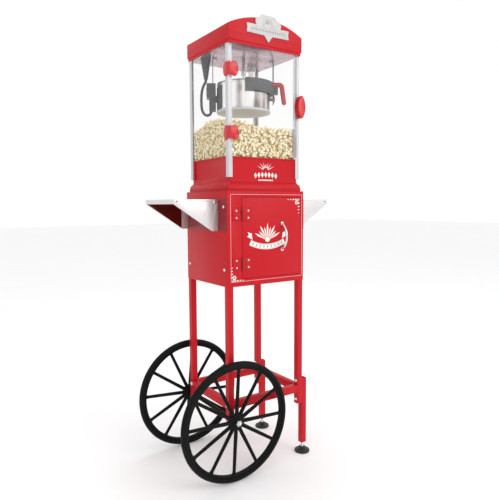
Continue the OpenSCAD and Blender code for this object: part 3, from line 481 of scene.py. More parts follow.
class Shape:
    """A mesh in the making, in metres, in the cart's own frame."""

    def __init__(self) -> None:
        """Starts empty."""
        self.bm = bmesh.new()

    def copy(self, node: str) -> "Shape":
        """Adds a node's own mesh, merged, with its flat faces joined."""
        self.bm.from_mesh(frame["nodes"][node].data)
        bmesh.ops.remove_doubles(self.bm, verts=self.bm.verts, dist=0.004 * MM)
        bmesh.ops.dissolve_limit(self.bm, angle_limit=math.radians(0.6), verts=self.bm.verts,
                                 edges=self.bm.edges)
        return self

    def soften(self, width: float, segments: int = 2, angle: float = 40.0) -> "Shape":
        """Rounds the edges that turn by more than angle degrees."""
        limit = math.radians(angle)
        sharp = [e for e in self.bm.edges
                 if len(e.link_faces) == 2 and e.calc_face_angle(0.0) > limit]
        bevel(self.bm, sharp, width, segments)
        return self

    def join(self, part: bmesh.types.BMesh) -> "Shape":
        """Adds another bmesh and frees it."""
        mesh = bpy.data.meshes.new("part")
        part.to_mesh(mesh)
        part.free()
        self.bm.from_mesh(mesh)
        bpy.data.meshes.remove(mesh)
        return self

    def box(self, low: Sequence[float], high: Sequence[float], rounding: float = 0.0) -> "Shape":
        """Adds a box between two corners, with rounded edges."""
        part = bmesh.new()
        bmesh.ops.create_cube(part, size=1.0)
        size = Vector(high) - Vector(low)
        place = Matrix.Translation((Vector(low) + Vector(high)) / 2)
        bmesh.ops.transform(part, matrix=place @ Matrix.Diagonal((*size, 1.0)), verts=part.verts)
        if rounding:
            bevel(part, part.edges, rounding)
        return self.join(part)

    def cone(self, start: Sequence[float], end: Sequence[float], r0: float,
             r1: float | None = None, sides: int = 24) -> "Shape":
        """Adds a capped cylinder or cone from start to end."""
        a, b = Vector(start), Vector(end)
        made = bmesh.ops.create_cone(self.bm, cap_ends=True, segments=sides, radius1=r0 * MM,
                                     radius2=(r0 if r1 is None else r1) * MM,
                                     depth=(b - a).length)
        bmesh.ops.transform(self.bm, matrix=Matrix.Translation((a + b) / 2) @ aimed(b - a),
                            verts=made["verts"])
        return self

    def ball(self, spot: Sequence[float], radius: float, stretch: Point = (1, 1, 1),
             fine: int = 2) -> "Shape":
        """Adds a rounded lump."""
        made = bmesh.ops.create_icosphere(self.bm, subdivisions=fine, radius=radius * MM)
        place = Matrix.Translation(spot) @ Matrix.Diagonal((*stretch, 1.0))
        bmesh.ops.transform(self.bm, matrix=place, verts=made["verts"])
        return self

    def spin(self, profile: Outline, origin: Sequence[float], axis: Sequence[float] = UP,
             steps: int = 48, closed: bool = False) -> "Shape":
        """Turns a profile of (radius, height) about an axis.

        Args:
            profile: the outline's points.
            origin: the axis's zero point.
            axis: the axis's direction.
            steps: segments round the turn.
            closed: joins the profile's last point to its first, as for a ring.

        Returns:
            This shape.
        """
        part = bmesh.new()
        verts = [part.verts.new((r * MM, 0.0, h * MM)) for r, h in profile]
        edges = [part.edges.new(pair) for pair in zip(verts, verts[1:])]
        if closed:
            edges.append(part.edges.new((verts[-1], verts[0])))
        bmesh.ops.spin(part, geom=verts + edges, cent=(0, 0, 0), axis=UP, angle=math.tau,
                       steps=steps, use_merge=True)
        bmesh.ops.remove_doubles(part, verts=part.verts, dist=0.002 * MM)
        bmesh.ops.recalc_face_normals(part, faces=part.faces)
        bmesh.ops.transform(part, matrix=Matrix.Translation(origin) @ aimed(axis),
                            verts=part.verts)
        return self.join(part)

    def plate(self, outline: Outline, origin: Sequence[float], right: Sequence[float],
              up: Sequence[float], thick: float, rounding: float = 0.0) -> "Shape":
        """Extrudes an outline.

        Args:
            outline: points along right and up.
            origin: the outline's zero.
            right: direction of the first coordinate.
            up: direction of the second coordinate.
            thick: thickness towards right x up.
            rounding: bevel of the outer edges.

        Returns:
            This shape.
        """
        part = bmesh.new()
        r, u = Vector(right), Vector(up)
        face = part.faces.new([part.verts.new(Vector(origin) + (r * x + u * y) * MM)
                               for x, y in outline])
        grown = bmesh.ops.extrude_face_region(part, geom=[face])
        top = [v for v in grown["geom"] if isinstance(v, bmesh.types.BMVert)]
        bmesh.ops.translate(part, verts=top, vec=r.cross(u) * thick * MM)
        bmesh.ops.recalc_face_normals(part, faces=part.faces)
        if rounding:
            bevel(part, [e for e in part.edges if all(v in top for v in e.verts)], rounding)
        return self.join(part)

    def decal(self, outline: Outline, face: Vector, thick: float) -> "Shape":
        """Adds a flat mark on a face that looks to the front."""
        return self.plate(outline, face, RIGHT, UP, thick)

    def loft(self, rows: list[list[Vector]], capped: bool = False) -> "Shape":
        """Joins rings of points into a skin, with flat ends if capped."""
        part = bmesh.new()
        rings = [[part.verts.new(spot) for spot in row] for row in rows]
        for ring, after in zip(rings, rings[1:]):
            for k, vert in enumerate(ring):
                n = (k + 1) % len(ring)
                part.faces.new((vert, ring[n], after[n], after[k]))
        if capped:
            part.faces.new(rings[0])
            part.faces.new(rings[-1][::-1])
        bmesh.ops.recalc_face_normals(part, faces=part.faces)
        return self.join(part)

    def moulding(self, node: str, inset: tuple[float, float], height: float,
                 bulge: Outline) -> "Shape":
        """Runs a line round a node's box.

        Args:
            node: the node.
            inset: how far inside the box's sides it runs, across and in depth.
            height: its height over the box's foot.
            bulge: its section, from half_round.

        Returns:
            This shape.
        """
        low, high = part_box(node)
        mid = middle(node)
        wide = (high.x - low.x) / 2 / MM - inset[0]
        deep = (high.y - low.y) / 2 / MM - inset[1]
        return self.loft([[Vector((mid.x + sx * (wide + out) * MM, mid.y + sy * (deep + out) * MM,
                                   low.z + (height + rise) * MM))
                           for sx, sy in bar(-1, 1, -1, 1)] for out, rise in bulge])

    def tube(self, points: Sequence[Sequence[float]], radius: float, sides: int = 16,
             smooth: int = 8) -> "Shape":
        """Adds a round tube along a smooth curve through points."""
        curve = bpy.data.curves.new("route", "CURVE")
        curve.dimensions = "3D"
        curve.bevel_depth = radius * MM
        curve.bevel_resolution = sides // 4
        curve.use_fill_caps = True
        curve.resolution_u = smooth
        spline = curve.splines.new("NURBS")
        spline.points.add(len(points) - 1)
        for spot, place in zip(spline.points, points):
            spot.co = (*place, 1.0)
        spline.use_endpoint_u = True
        spline.order_u = 3
        holder = bpy.data.objects.new("route", curve)
        self.bm.from_mesh(holder.to_mesh())
        bpy.data.objects.remove(holder)
        bpy.data.curves.remove(curve)
        return self

    def piece(self, name: str, finish: Finish, body: Body = Body.ROOT,
              replaces: Sequence[str] = (), crease: float = 32.0) -> None:
        """Ends the mesh as a piece that rides on a body.

        Args:
            name: the piece's name.
            finish: its finish.
            body: the body it rides on.
            replaces: the nodes it stands for.
            crease: edges that turn more than this many degrees stay sharp.
        """
        mesh = bpy.data.meshes.new(name)
        self.bm.to_mesh(mesh)
        self.bm.free()
        mesh.polygons.foreach_set("use_smooth", [True] * len(mesh.polygons))
        mesh.set_sharp_from_angle(angle=math.radians(crease))
        mesh.materials.append(finish.material())
        made = link(bpy.data.objects.new(name, mesh))
        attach(made, body.value)
        if replaces:
            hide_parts(*replaces)
        LOG.info("%s: %d faces on %s", name, len(mesh.polygons), body.value)

    def replace(self, node: str, finish: Finish, body: Body = Body.ROOT,
                crease: float = 32.0) -> None:
        """Ends the mesh as the piece that stands for a node."""
        self.piece(node + "_finished", finish, body, [node], crease)


def softened(finish: Finish, width: float, *nodes: str, body: Body = Body.ROOT,
             crease: float = 32.0, segments: int = 2, angle: float = 40.0) -> None:
    """Replaces nodes by their own shapes with edges rounded by width."""
    for node in nodes:
        Shape().copy(node).soften(width, segments, angle).replace(node, finish, body, crease)


# ---------------------------------------------------------------- sub-assemblies


@dataclass
class Stage:
    """Camera, lights and floor."""

    camera_mm: Point = (-936.7, -1426.4, 845.1)
    yaw: float = 33.859
    pitch: float = 5.059
    roll: float = -0.292
    lens: float = 36.768
    aim: Point = (0, 0, 0.8)
    floor_size: float = 40.0

    def camera(self) -> None:
        """Makes the camera, placed from the cabinet's middle, and sets it as the scene's."""
        data = bpy.data.cameras.new("camera")
        data.lens = self.lens
        data.sensor_width = 36.0
        camera = link(bpy.data.objects.new("camera", data))
        x, y, z = self.camera_mm
        camera.location = (middle("cabinet_top").x + x * MM, y * MM, z * MM)
        camera.rotation_mode = "XYZ"
        turn = (Matrix.Rotation(math.radians(-self.yaw), 4, "Z")
                @ Matrix.Rotation(math.radians(90 - self.pitch), 4, "X")
                @ Matrix.Rotation(math.radians(self.roll), 4, "Z"))
        camera.rotation_euler = turn.to_euler()
        bpy.context.scene.camera = camera

    def light(self, name: str, place: Point, size: float, power: float) -> None:
        """Adds one soft square light that looks at the cart's middle."""
        data = bpy.data.lights.new(name, "AREA")
        data.size = size
        data.energy = power
        lamp = link(bpy.data.objects.new(name, data))
        lamp.location = place
        way = Vector(self.aim) - Vector(place)
        lamp.rotation_euler = way.to_track_quat("-Z", "Y").to_euler()

    def floor(self) -> None:
        """A plain pale floor."""
        graph = Graph("pale_floor")
        tone = graph.mix(graph.noise(2.0), (0.93, 0.93, 0.93), (0.95, 0.95, 0.95))
        graph.set(Base_Color=tone, Roughness=0.75, Specular_IOR_Level=0.1)
        mesh = bpy.data.meshes.new("floor")
        bm = bmesh.new()
        bmesh.ops.create_grid(bm, x_segments=1, y_segments=1, size=self.floor_size / 2)
        bm.to_mesh(mesh)
        bm.free()
        floor = link(bpy.data.objects.new("floor", mesh))
        mesh.materials.append(graph.material)

    def build(self) -> None:
        """Makes the whole stage."""
        self.camera()
        world = bpy.data.worlds.new("studio")
        world.use_nodes = True
        back = world.node_tree.nodes["Background"]
        back.inputs["Color"].default_value = (1.0, 1.0, 1.0, 1.0)
        back.inputs["Strength"].default_value = 1.0
        bpy.context.scene.world = world
        bpy.context.scene.view_settings.view_transform = "Standard"
        self.light("key", (1.6, -3.4, 2.6), 2.2, 44.0)
        self.light("top", (0.2, 0.4, 3.6), 1.6, 14.0)
        self.floor()


@dataclass
class Frame:
    """Legs, rails, foot legs, levelling feet, axle and fasteners."""

    tube_round: float = 1.2
    pad_r: float = 25.5
    pad_h: float = 16.0
    thread_r: float = 3.5
    thread_pitch: float = 1.6

    def foot(self, node: str, body: Body) -> None:
        """One levelling foot: a ribbed pad and a threaded stud with its nut."""
        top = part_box(node)[1].z / MM
        spot = middle(node)
        spot.z = 0.0
        r, h = self.pad_r, self.pad_h
        pad = [(0, 0), (r - 1.2, 0), (r, 1.2), (r, 5.2), (r - 0.8, 6.4), (20, 7.6), (13.5, 8.8),
               (11.4, 10.2), (11, 12), (11, h - 0.2), (10, h + 1), (4.2, h + 1), (4.2, h), (0, h)]
        Shape().spin(pad, spot, steps=40).piece(node + "_pad", Finish.BLACK_PLASTIC, body, [node])
        turns = int((top - h - 1.5) / self.thread_pitch)
        thread = [(0, h - 0.1)]
        for n in range(turns):
            z = h + n * self.thread_pitch
            thread += [(self.thread_r, z), (self.thread_r + 0.5, z + self.thread_pitch / 2)]
        thread += [(self.thread_r, h + turns * self.thread_pitch), (0, top)]
        stud = Shape().spin(thread, spot, steps=20)
        stud.cone(spot + mm(0, 0, h + 1), spot + mm(0, 0, h + 6), 6.5, sides=6)
        stud.piece(node + "_stud", Finish.ZINC, body)

    def build(self) -> None:
        """Makes the whole frame."""
        softened(Finish.RED, self.tube_round, "leg_front_left", "leg_front_right",
                 "leg_back_left", "leg_back_right", "rail_front", "rail_back", "side_rails",
                 "foot_leg_front", "foot_leg_back", segments=3)
        self.foot("levelling_foot_front", Body.FRONT_FOOT)
        self.foot("levelling_foot_back", Body.BACK_FOOT)
        softened(Finish.BLACK, 0.6, "axle")
        softened(Finish.ZINC, 0.5, "frame_fasteners", crease=25.0)


@dataclass
class Wheel:
    """One black spoked wheel with its tyre."""

    wheel: str
    tyre: str
    body: Body
    turn: float
    spokes: int = 12
    hub_r: float = 23.0
    bore_r: float = 6.1

    def build(self) -> None:
        """Makes the tyre with two tread grooves, then rim, stepped hub and tapered spokes."""
        low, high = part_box(self.tyre)
        mid = middle(self.tyre)
        big, half = (high.z - low.z) / 2 / MM, (high.y - low.y) / 2 / MM
        ring = [(big - half + (half - (0.5 if n in (10, 14) else 0.0)) * math.cos(a),
                 half * math.sin(a)) for n, a in enumerate(angles(-118, 236 / 24, 25))]
        ring += [(big - 17.2, half * 0.6), (big - 17.2, -half * 0.6)]
        Shape().spin(ring, mid, BACK, 96, True).replace(self.tyre, Finish.TYRE, self.body)
        out = big - 17.0
        rim = mirrored([(out, 6.6), (out - 4, 7), (out - 6.2, 5.6), (out - 7, 2.5)])
        hub = mirrored([(self.bore_r, -12), (15, -12), (16.5, -11), (17.5, -8), (23.5, -7),
                        (25, -5.5)])
        shape = Shape().spin(rim, mid, BACK, 96, True).spin(hub, mid, BACK, 48, True)
        spoke = ((self.hub_r, 92, 6.2, 5.6), (92, out - 6, 5.6, 5.2), (out - 14, out - 6, 5.2, 6.9))
        for n in range(self.spokes):
            a = math.radians(self.turn + n * 360 / self.spokes)
            way = Vector((math.cos(a), 0, math.sin(a)))
            for start, end, r0, r1 in spoke:
                shape.cone(mid + way * start * MM, mid + way * end * MM, r0, r1, 14)
        shape.replace(self.wheel, Finish.BLACK, self.body)


@dataclass
class Cabinet:
    """The red cabinet, its door, hinges, pull and printed ornament."""

    stripe: float = 1.2
    print_t: float = 0.25
    screw_r: float = 3.1
    leaf_h: float = 39.0

    def screw(self, shape: Shape, spot: Vector) -> None:
        """Adds a pan head with a cross recess on a face that looks to the front."""
        r = self.screw_r
        head = [(0, 0), (r, 0), (r, 0.4), (r * 0.75, 1.3), (r * 0.45, 1.6), (0, 1.7)]
        shape.spin(head, spot, FRONT, 20)
        for across, tall in ((r * 0.55, 0.35), (0.35, r * 0.55)):
            shape.decal(bar(-across, across, -tall, tall), spot + mm(0, -1.5, 0), 0.35)

    def hinges(self) -> None:
        """Painted hinge leaves, barrels in a darker red that is painted shade, and bright screws.
        """
        softened(Finish.RED, 0.35, "door_hinges_fixed")
        softened(Finish.RED, 0.35, "door_hinge_leaves", body=Body.CABINET_DOOR)
        fixed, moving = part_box("door_hinges_fixed"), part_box("door_hinge_leaves")
        axis = pivot("cabinet_door_hinge")
        face = fixed[1].y - 1.5 * MM
        thick = (axis.y - min(fixed[0].y, moving[0].y)) / MM + 0.15
        rise = self.leaf_h * MM
        still, swung, pins = Shape(), Shape(), Shape()
        for z in (fixed[0].z, fixed[1].z - rise):
            for share in (0.22, 0.78):
                self.screw(still, Vector((fixed[0].x + 14 * MM, face, z + rise * share)))
                self.screw(swung, Vector((moving[1].x - 11 * MM, face, z + rise * share)))
            pins.cone((axis.x, axis.y, z + 0.6 * MM), (axis.x, axis.y, z + rise - 0.6 * MM), thick)
        # The barrels' darker red is painted shade in the door's seam.
        pins.piece("hinge_barrel_shade", Finish.DARK_RED)
        still.piece("hinge_screws_fixed", Finish.ZINC)
        swung.piece("hinge_screws_moving", Finish.ZINC, Body.CABINET_DOOR)

    def pinstripe(self) -> None:
        """A fine pale line round the front frame."""
        low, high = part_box("cabinet_front_frame")
        x0, x1 = low.x + 12 * MM, high.x - 7 * MM
        z0, z1 = low.z + 15 * MM, high.z - 10 * MM
        w, y, front = self.stripe * MM / 2, low.y, low.y - self.print_t * MM
        shape = Shape()
        for z in (z0, z1):
            shape.box((x0, front, z - w), (x1, y, z + w))
        for x in (x0, x1):
            shape.box((x - w, front, z0 - w), (x + w, y, z1 + w))
        shape.piece("pinstripe", Finish.LINE)

    def flourish(self, name: str, body: Body, corner: Vector, way: int, size: float) -> None:
        """Makes leaf scrolls that run both ways from a corner, with a small flower.

        Args:
            name: the piece's name.
            body: the body it rides on.
            corner: the corner on the face.
            way: 1 for up and to the right, -1 for down and to the left.
            size: reach of each arm.
        """
        leaves = []
        for n in range(5):
            along, r = 6 + n * (size - 6) / 4, 3.6 - n * 0.45
            for x, z, lean in ((along, 4.5, -0.5), (4.5, along, 0.5)):
                leaves.append(oval(12, r * 1.3, r * 0.8, x, z, lean))
        leaves += [oval(10, 2.2, 2.2, x, z) for x, z in oval(8, 4.6, 4.6, 13, 14)]
        shape = Shape()
        for leaf in leaves:
            shape.decal([(way * x, way * z) for x, z in leaf], corner, self.print_t)
        shape.piece(name, Finish.PRINT, body)

    def ornaments(self) -> None:
        """Corner scrolls, on the frame at the bottom left and on the door at the top right."""
        low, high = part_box("cabinet_front_frame")
        self.flourish("corner_scroll_frame", Body.ROOT, low + mm(11, 0, 14), 1, 44)
        low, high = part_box("cart_door")
        corner = Vector((high.x, low.y, high.z)) + mm(-2, 0, -2)
        self.flourish("corner_scroll_door", Body.CABINET_DOOR, corner, -1, 48)

    def emblem(self) -> None:
        """A generic fan of rays over a plain curved ribbon, in the middle of the front."""
        face = middle("cart_door") + mm(-18.5, 0, -4)
        face.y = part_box("cart_door")[0].y
        radius, dip, raised = 150.0, 26.0, self.print_t * 1.3
        shape, grey = Shape(), Shape()

        def curve(out: float, span: float, count: int = 18) -> Outline:
            """Points at out from the ribbon's middle line, over span degrees each way."""
            r = radius + out
            return [(r * math.sin(a), radius - dip - r * math.cos(a))
                    for a in angles(-span, 2 * span / count, count + 1)]

        shape.decal(curve(8, 26) + curve(-9, 26)[::-1], face, self.print_t)
        for s in (-1, 1):
            tail = [(s * 57, -2), (s * 77, 8), (s * 70, 13), (s * 75, 22), (s * 60, 17)]
            shape.decal(tail, face, self.print_t * 0.6)
        for line in (curve(5.5, 24), curve(-6.5, 24)):
            grey.decal(line + [(x, y + 0.9) for x, y in line][::-1], face, raised)
        for x, y in curve(-0.5, 21.6, 8):
            grey.decal(lozenge(3.0, 4.6, x, y), face, raised)
        w = math.radians(5.4)
        for n, a in enumerate(angles(-64, 16, 9)):
            tip = 54 if n % 2 == 0 else 44
            points = ((12, -w), (12, w), (tip * 0.72, w * 0.9), (tip, 0), (tip * 0.72, -w * 0.9))
            shape.decal([polar(reach, a + turn, -6) for reach, turn in points], face, self.print_t)
        shape.decal(oval(24, 9, 8.1, 0, -3), face, self.print_t)
        shape.piece("door_emblem", Finish.PRINT, Body.CABINET_DOOR)
        grey.piece("door_emblem_lines", Finish.GREY_PRINT, Body.CABINET_DOOR)

    def build(self) -> None:
        """Makes the whole cabinet."""
        softened(Finish.RED, 0.6, "cabinet_shell", "cabinet_front_frame", "cabinet_top")
        softened(Finish.RED, 0.5, "cart_door", body=Body.CABINET_DOOR)
        self.hinges()
        softened(Finish.ZINC, 0.4, "door_pull", body=Body.CABINET_DOOR, crease=40.0)
        self.pinstripe()
        self.ornaments()
        self.emblem()


@dataclass
class Shelf:
    """One flip-up side shelf with rivets, fold lines and dark red sheets inside its cheeks, which
    are painted shade and a painted reflection of the red cabinet.
    """

    node: str
    body: Body
    side: int
    rivet_r: float = 2.6

    def outside(self) -> None:
        """Domed rivets, a dark latch slot and a fold line on each cheek."""
        low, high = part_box(self.node)
        inner, outer = (high.x, low.x) if self.side < 0 else (low.x, high.x)
        dome = [(0, 0), (self.rivet_r, 0), (self.rivet_r * 0.8, 0.9), (0, 1.3)]
        rivets, slots, folds = Shape(), Shape(), Shape()
        for y, out in ((low.y, -1), (high.y, 1)):
            for share in (0.1, 0.68, 0.955):
                x = inner + (outer - inner) * share
                rivets.spin(dome, (x, y, high.z - 6 * MM), (0, out, 0), 16)
            latch = Vector((inner + (outer - inner) * 0.93, y, high.z))
            slots.box(latch + mm(-3.5, -0.2, -7.6), latch + mm(3.5, 0.2, -4.6))
            y0, y1 = sorted((y, y + out * 0.35 * MM))
            folds.box((low.x + 1 * MM, y0, high.z - 13.2 * MM),
                      (high.x - 1 * MM, y1, high.z - 12.4 * MM))
        rivets.piece(self.node + "_rivets", Finish.ZINC, self.body)
        slots.piece(self.node + "_slots", Finish.BLACK_PLASTIC, self.body)
        folds.piece(self.node + "_fold_lines", Finish.STAINLESS, self.body)

    def shade_liners(self) -> None:
        """Dark red sheets inside the cheeks: painted shade under the tray and a painted reflection
        of the red cabinet.
        """
        low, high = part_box(self.node)
        inner = high.x if self.side < 0 else low.x
        length, deep = (high.x - low.x) / MM, (high.z - low.z) / MM
        outline = [(24, -2), (length - 3, -2), (length - 3, -12), (26, 4 - deep), (24, 4 - deep)]
        shape = Shape()
        for y in (low.y + 1.55 * MM, high.y - 1.85 * MM):
            shape.decal([(self.side * x, z) for x, z in outline], Vector((inner, y, high.z)), -0.3)
        shape.piece(self.node + "_liners", Finish.LINER, self.body)

    def build(self) -> None:
        """Makes the shelf."""
        softened(Finish.STAINLESS, 0.35, self.node, body=self.body)
        self.outside()
        self.shade_liners()


@dataclass
class MachineBase:
    """The red base of the machine with its ogee foot, popcorn tray and rear switches."""

    bead: float = 1.0
    taper: float = 1.25
    ornament_t: float = 0.25

    def beads(self) -> None:
        """Rounded lines round the flared foot, three of them with a dark line of painted shade
        below.
        """
        lines, shade = Shape(), Shape()
        for inset, rise in ((0.2, 7.2), (3.0, 16.6), (6.8, 22.6), (8.6, 27.4)):
            lines.moulding("machine_base", (inset + 0.3, inset * self.taper + 0.3), rise,
                           half_round(self.bead, self.bead))
        lines.piece("base_mouldings", Finish.RED, crease=50.0)
        # Dark red lines of painted shade under three of the beads.
        for inset, rise in ((0.2, 5.7), (3.0, 15.1), (8.6, 25.9)):
            shade.moulding("machine_base", (inset, inset * self.taper), rise,
                           half_round(0.6, 0.5, 3))
        shade.piece("moulding_shade", Finish.DARK_RED, crease=50.0)

    def seam(self) -> None:
        """The dark joint of the front panel beside the left post."""
        low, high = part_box("machine_base")
        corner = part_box("popcorn_tray")[0]
        x, y = corner.x + 1.2 * MM, corner.y - 1.5 * MM
        Shape().box((x - 1.0 * MM, y - 0.25 * MM, low.z + 29 * MM),
                    (x + 1.0 * MM, y + 0.5 * MM, high.z - 3 * MM)
                    ).piece("base_seam", Finish.DARK_RED)

    def rear(self) -> None:
        """Rockers, their bezels and the mains inlet."""
        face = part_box("power_inlet")[1].y - 2.5 * MM
        back = face + 1.5 * MM
        half_x, half_z, rim = 7.4 * MM, 10.4 * MM, 2.6 * MM
        for node, body in (("rocker_heat", Body.HEAT_SWITCH), ("rocker_light", Body.LIGHT_SWITCH)):
            softened(Finish.BLACK_PLASTIC, 0.4, node, body=body)
            mid = middle(node)
            bezel = Shape()
            for s in (-1, 1):
                x0, x1 = sorted((mid.x + s * half_x, mid.x + s * (half_x + rim)))
                bezel.box((x0, face, mid.z - half_z - rim), (x1, back, mid.z + half_z + rim), 0.4)
                z0, z1 = sorted((mid.z + s * half_z, mid.z + s * (half_z + rim)))
                bezel.box((mid.x - half_x, face, z0), (mid.x + half_x, back, z1), 0.4)
            bezel.piece(node + "_bezel", Finish.BLACK_PLASTIC)
        softened(Finish.BLACK_PLASTIC, 0.4, "power_inlet")

    def crest(self) -> None:
        """A small generic fan of rays over diamonds and a row of small squares."""
        low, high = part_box("popcorn_tray")
        face = Vector(((low.x + high.x) / 2, low.y, high.z)) + mm(5, -1.5, -39.5)
        marks = [ray(a, 9.5, 10, 22 + 15 * abs(math.sin(a))) for a in angles(-66, 22, 7)]
        marks += [lozenge(5.4, 9, n * 13, -12 - 0.35 * n * n) for n in range(-3, 4)]
        marks += [bar(n * 6.4 - 2.2, n * 6.4 + 2.2, -31.2, -26.8) for n in range(-4, 5)]
        shape = Shape()
        for mark in marks:
            shape.decal(mark, face, self.ornament_t)
        shape.piece("base_crest", Finish.PRINT)

    def build(self) -> None:
        """Makes the machine's base."""
        softened(Finish.RED, 0.5, "machine_base")
        softened(Finish.STAINLESS, 0.3, "popcorn_tray")
        self.beads()
        self.seam()
        self.rear()
        self.crest()


@dataclass
class Case:
    """Posts, glass, the glass door with its clips, hinges and knob."""

    knob_round: float = 5.0
    clip_h: float = 44.0
    barrel: float = 3.0

    def glass(self) -> None:
        """Four panes, and a frosted strip at the door's free edge."""
        softened(Finish.GLASS, 0.4, "glass_left", "glass_right", "glass_back")
        softened(Finish.GLASS, 0.4, "glass_door", body=Body.CASE_DOOR)
        low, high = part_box("glass_door")
        Shape().box((high.x - 27 * MM, low.y - 0.3 * MM, low.z + 1 * MM),
                    (high.x - 12 * MM, low.y, high.z - 1 * MM)
                    ).piece("door_edge_strip", Finish.FROST, Body.CASE_DOOR)

    def clips(self) -> None:
        """Rounded red clips: a lobe on the door, a lobe on the post's side, barrels between."""
        low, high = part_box("glass_door_clips")
        fixed_low, fixed_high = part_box("glass_door_hinges")
        tall = self.clip_h * MM
        x, y, _ = Vector((low.x + self.barrel * MM, low.y + self.barrel * MM, 0))
        screw = [(0, -0.4), (1.9, -0.4), (1.9, 0.0), (0, 0.05)]
        door, post, screws = Shape(), Shape(), Shape()
        for z in (low.z + tall / 2, high.z - tall / 2):
            door.plate(self.lobe((high.x - x) / MM), (x, low.y + 3 * MM, z), RIGHT, UP, 3.0, 1.4)
            door.cone((x, y, z - tall / 6 + 0.3 * MM), (x, y, z + tall / 6 - 0.3 * MM),
                      self.barrel)
            post.plate(self.lobe((fixed_high.y - y) / MM), (fixed_low.x + 2.6 * MM, y, z), BACK,
                       UP, -2.6, 1.2)
            for s in (-1, 1):
                post.cone((x, y, z + s * tall / 6), (x, y, z + s * tall * 0.44), self.barrel)
                screws.spin(screw, (high.x - 9 * MM, low.y, z + s * tall * 0.24), FRONT, 20)
        door.replace("glass_door_clips", Finish.RED_PLASTIC, Body.CASE_DOOR, 45.0)
        post.replace("glass_door_hinges", Finish.RED_PLASTIC, crease=45.0)
        screws.piece("clip_screws", Finish.DARK_STEEL, Body.CASE_DOOR)

    def lobe(self, reach: float) -> Outline:
        """A rounded leaf that starts narrow at the hinge and swells to reach."""
        neck = self.clip_h * 0.3
        swell = [(reach * 0.52 + reach * 0.48 * math.cos(a), self.clip_h / 2 * math.sin(a))
                 for a in angles(-122, 244 / 20, 21)]
        return [(0, -neck), *swell, (0, neck)]

    def build(self) -> None:
        """Makes the glass case with its domed, D-shaped knob."""
        softened(Finish.WHITE, 0.5, "corner_posts")
        self.glass()
        self.clips()
        softened(Finish.RED_PLASTIC, self.knob_round, "glass_door_knob", body=Body.CASE_DOOR,
                 crease=50.0, segments=5, angle=30)


@dataclass
class Canopy:
    """The curved red canopy, its crest, the polished ceiling and the lamp."""

    crease_z: float = 29.0

    def plaque(self) -> None:
        """The cast crest with a ringed fan over a plain lined ribbon."""
        softened(Finish.PEWTER, 0.7, "plaque", crease=50.0, segments=3, angle=30)
        low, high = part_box("plaque")
        top = Vector(((low.x + high.x) / 2 - 1 * MM, low.y, high.z))
        disc, ribbon = top + mm(0, 0, -27), top + mm(0, 0, -46)
        shape, marks = Shape(), Shape()
        shape.spin([(15.2, 0), (15.2, 0.8), (16.8, 0.8), (16.8, 0)], disc, FRONT, 40, True)
        for a in angles(-75, 15, 11):
            shape.decal(ray(a, 3.6, 4, 13), disc, 0.6)
        for z in (-9.0, 9.0):
            shape.decal(bar(-66, 68, z - 0.7, z + 0.7), ribbon, 0.5)
        for n in range(-7, 8):
            marks.decal(lozenge(3.2, 4.6, n * 8.6 + 1), ribbon, 0.3)
        marks.piece("plaque_marks", Finish.GREY_PRINT)
        shape.piece("plaque_relief", Finish.PEWTER)

    def lamp(self) -> None:
        """The case lamp and its stepped holder."""
        foot = middle("lamp")
        foot.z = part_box("lamp")[0].z
        glass = [(0, 0), (8, 0), (11.5, 1.4), (12.8, 5), (12.8, 46), (0, 46)]
        holder = [(0, 45), (11, 45), (15, 47), (15, 56), (13, 58), (15, 60), (15, 63), (0, 63)]
        Shape().spin(glass, foot, steps=32).piece("lamp_glass_finished", Finish.LAMP,
                                                  replaces=["lamp"])
        Shape().spin(holder, foot, steps=32).piece("lamp_holder", Finish.WHITE)

    def build(self) -> None:
        """Makes the canopy with a fine crease along its sides, and all that hangs in it."""
        softened(Finish.RED, 1.6, "canopy", segments=4)
        Shape().moulding("canopy", (0, 0), self.crease_z, half_round(0.5, 1.1)
                         ).piece("canopy_crease", Finish.RED, crease=50.0)
        self.plaque()
        # The ceiling's pink streaked colour is a painted reflection.
        softened(Finish.CEILING, 0.4, "ceiling_panel")
        softened(Finish.DARK_STEEL, 1.0, "drive_motor")
        self.lamp()


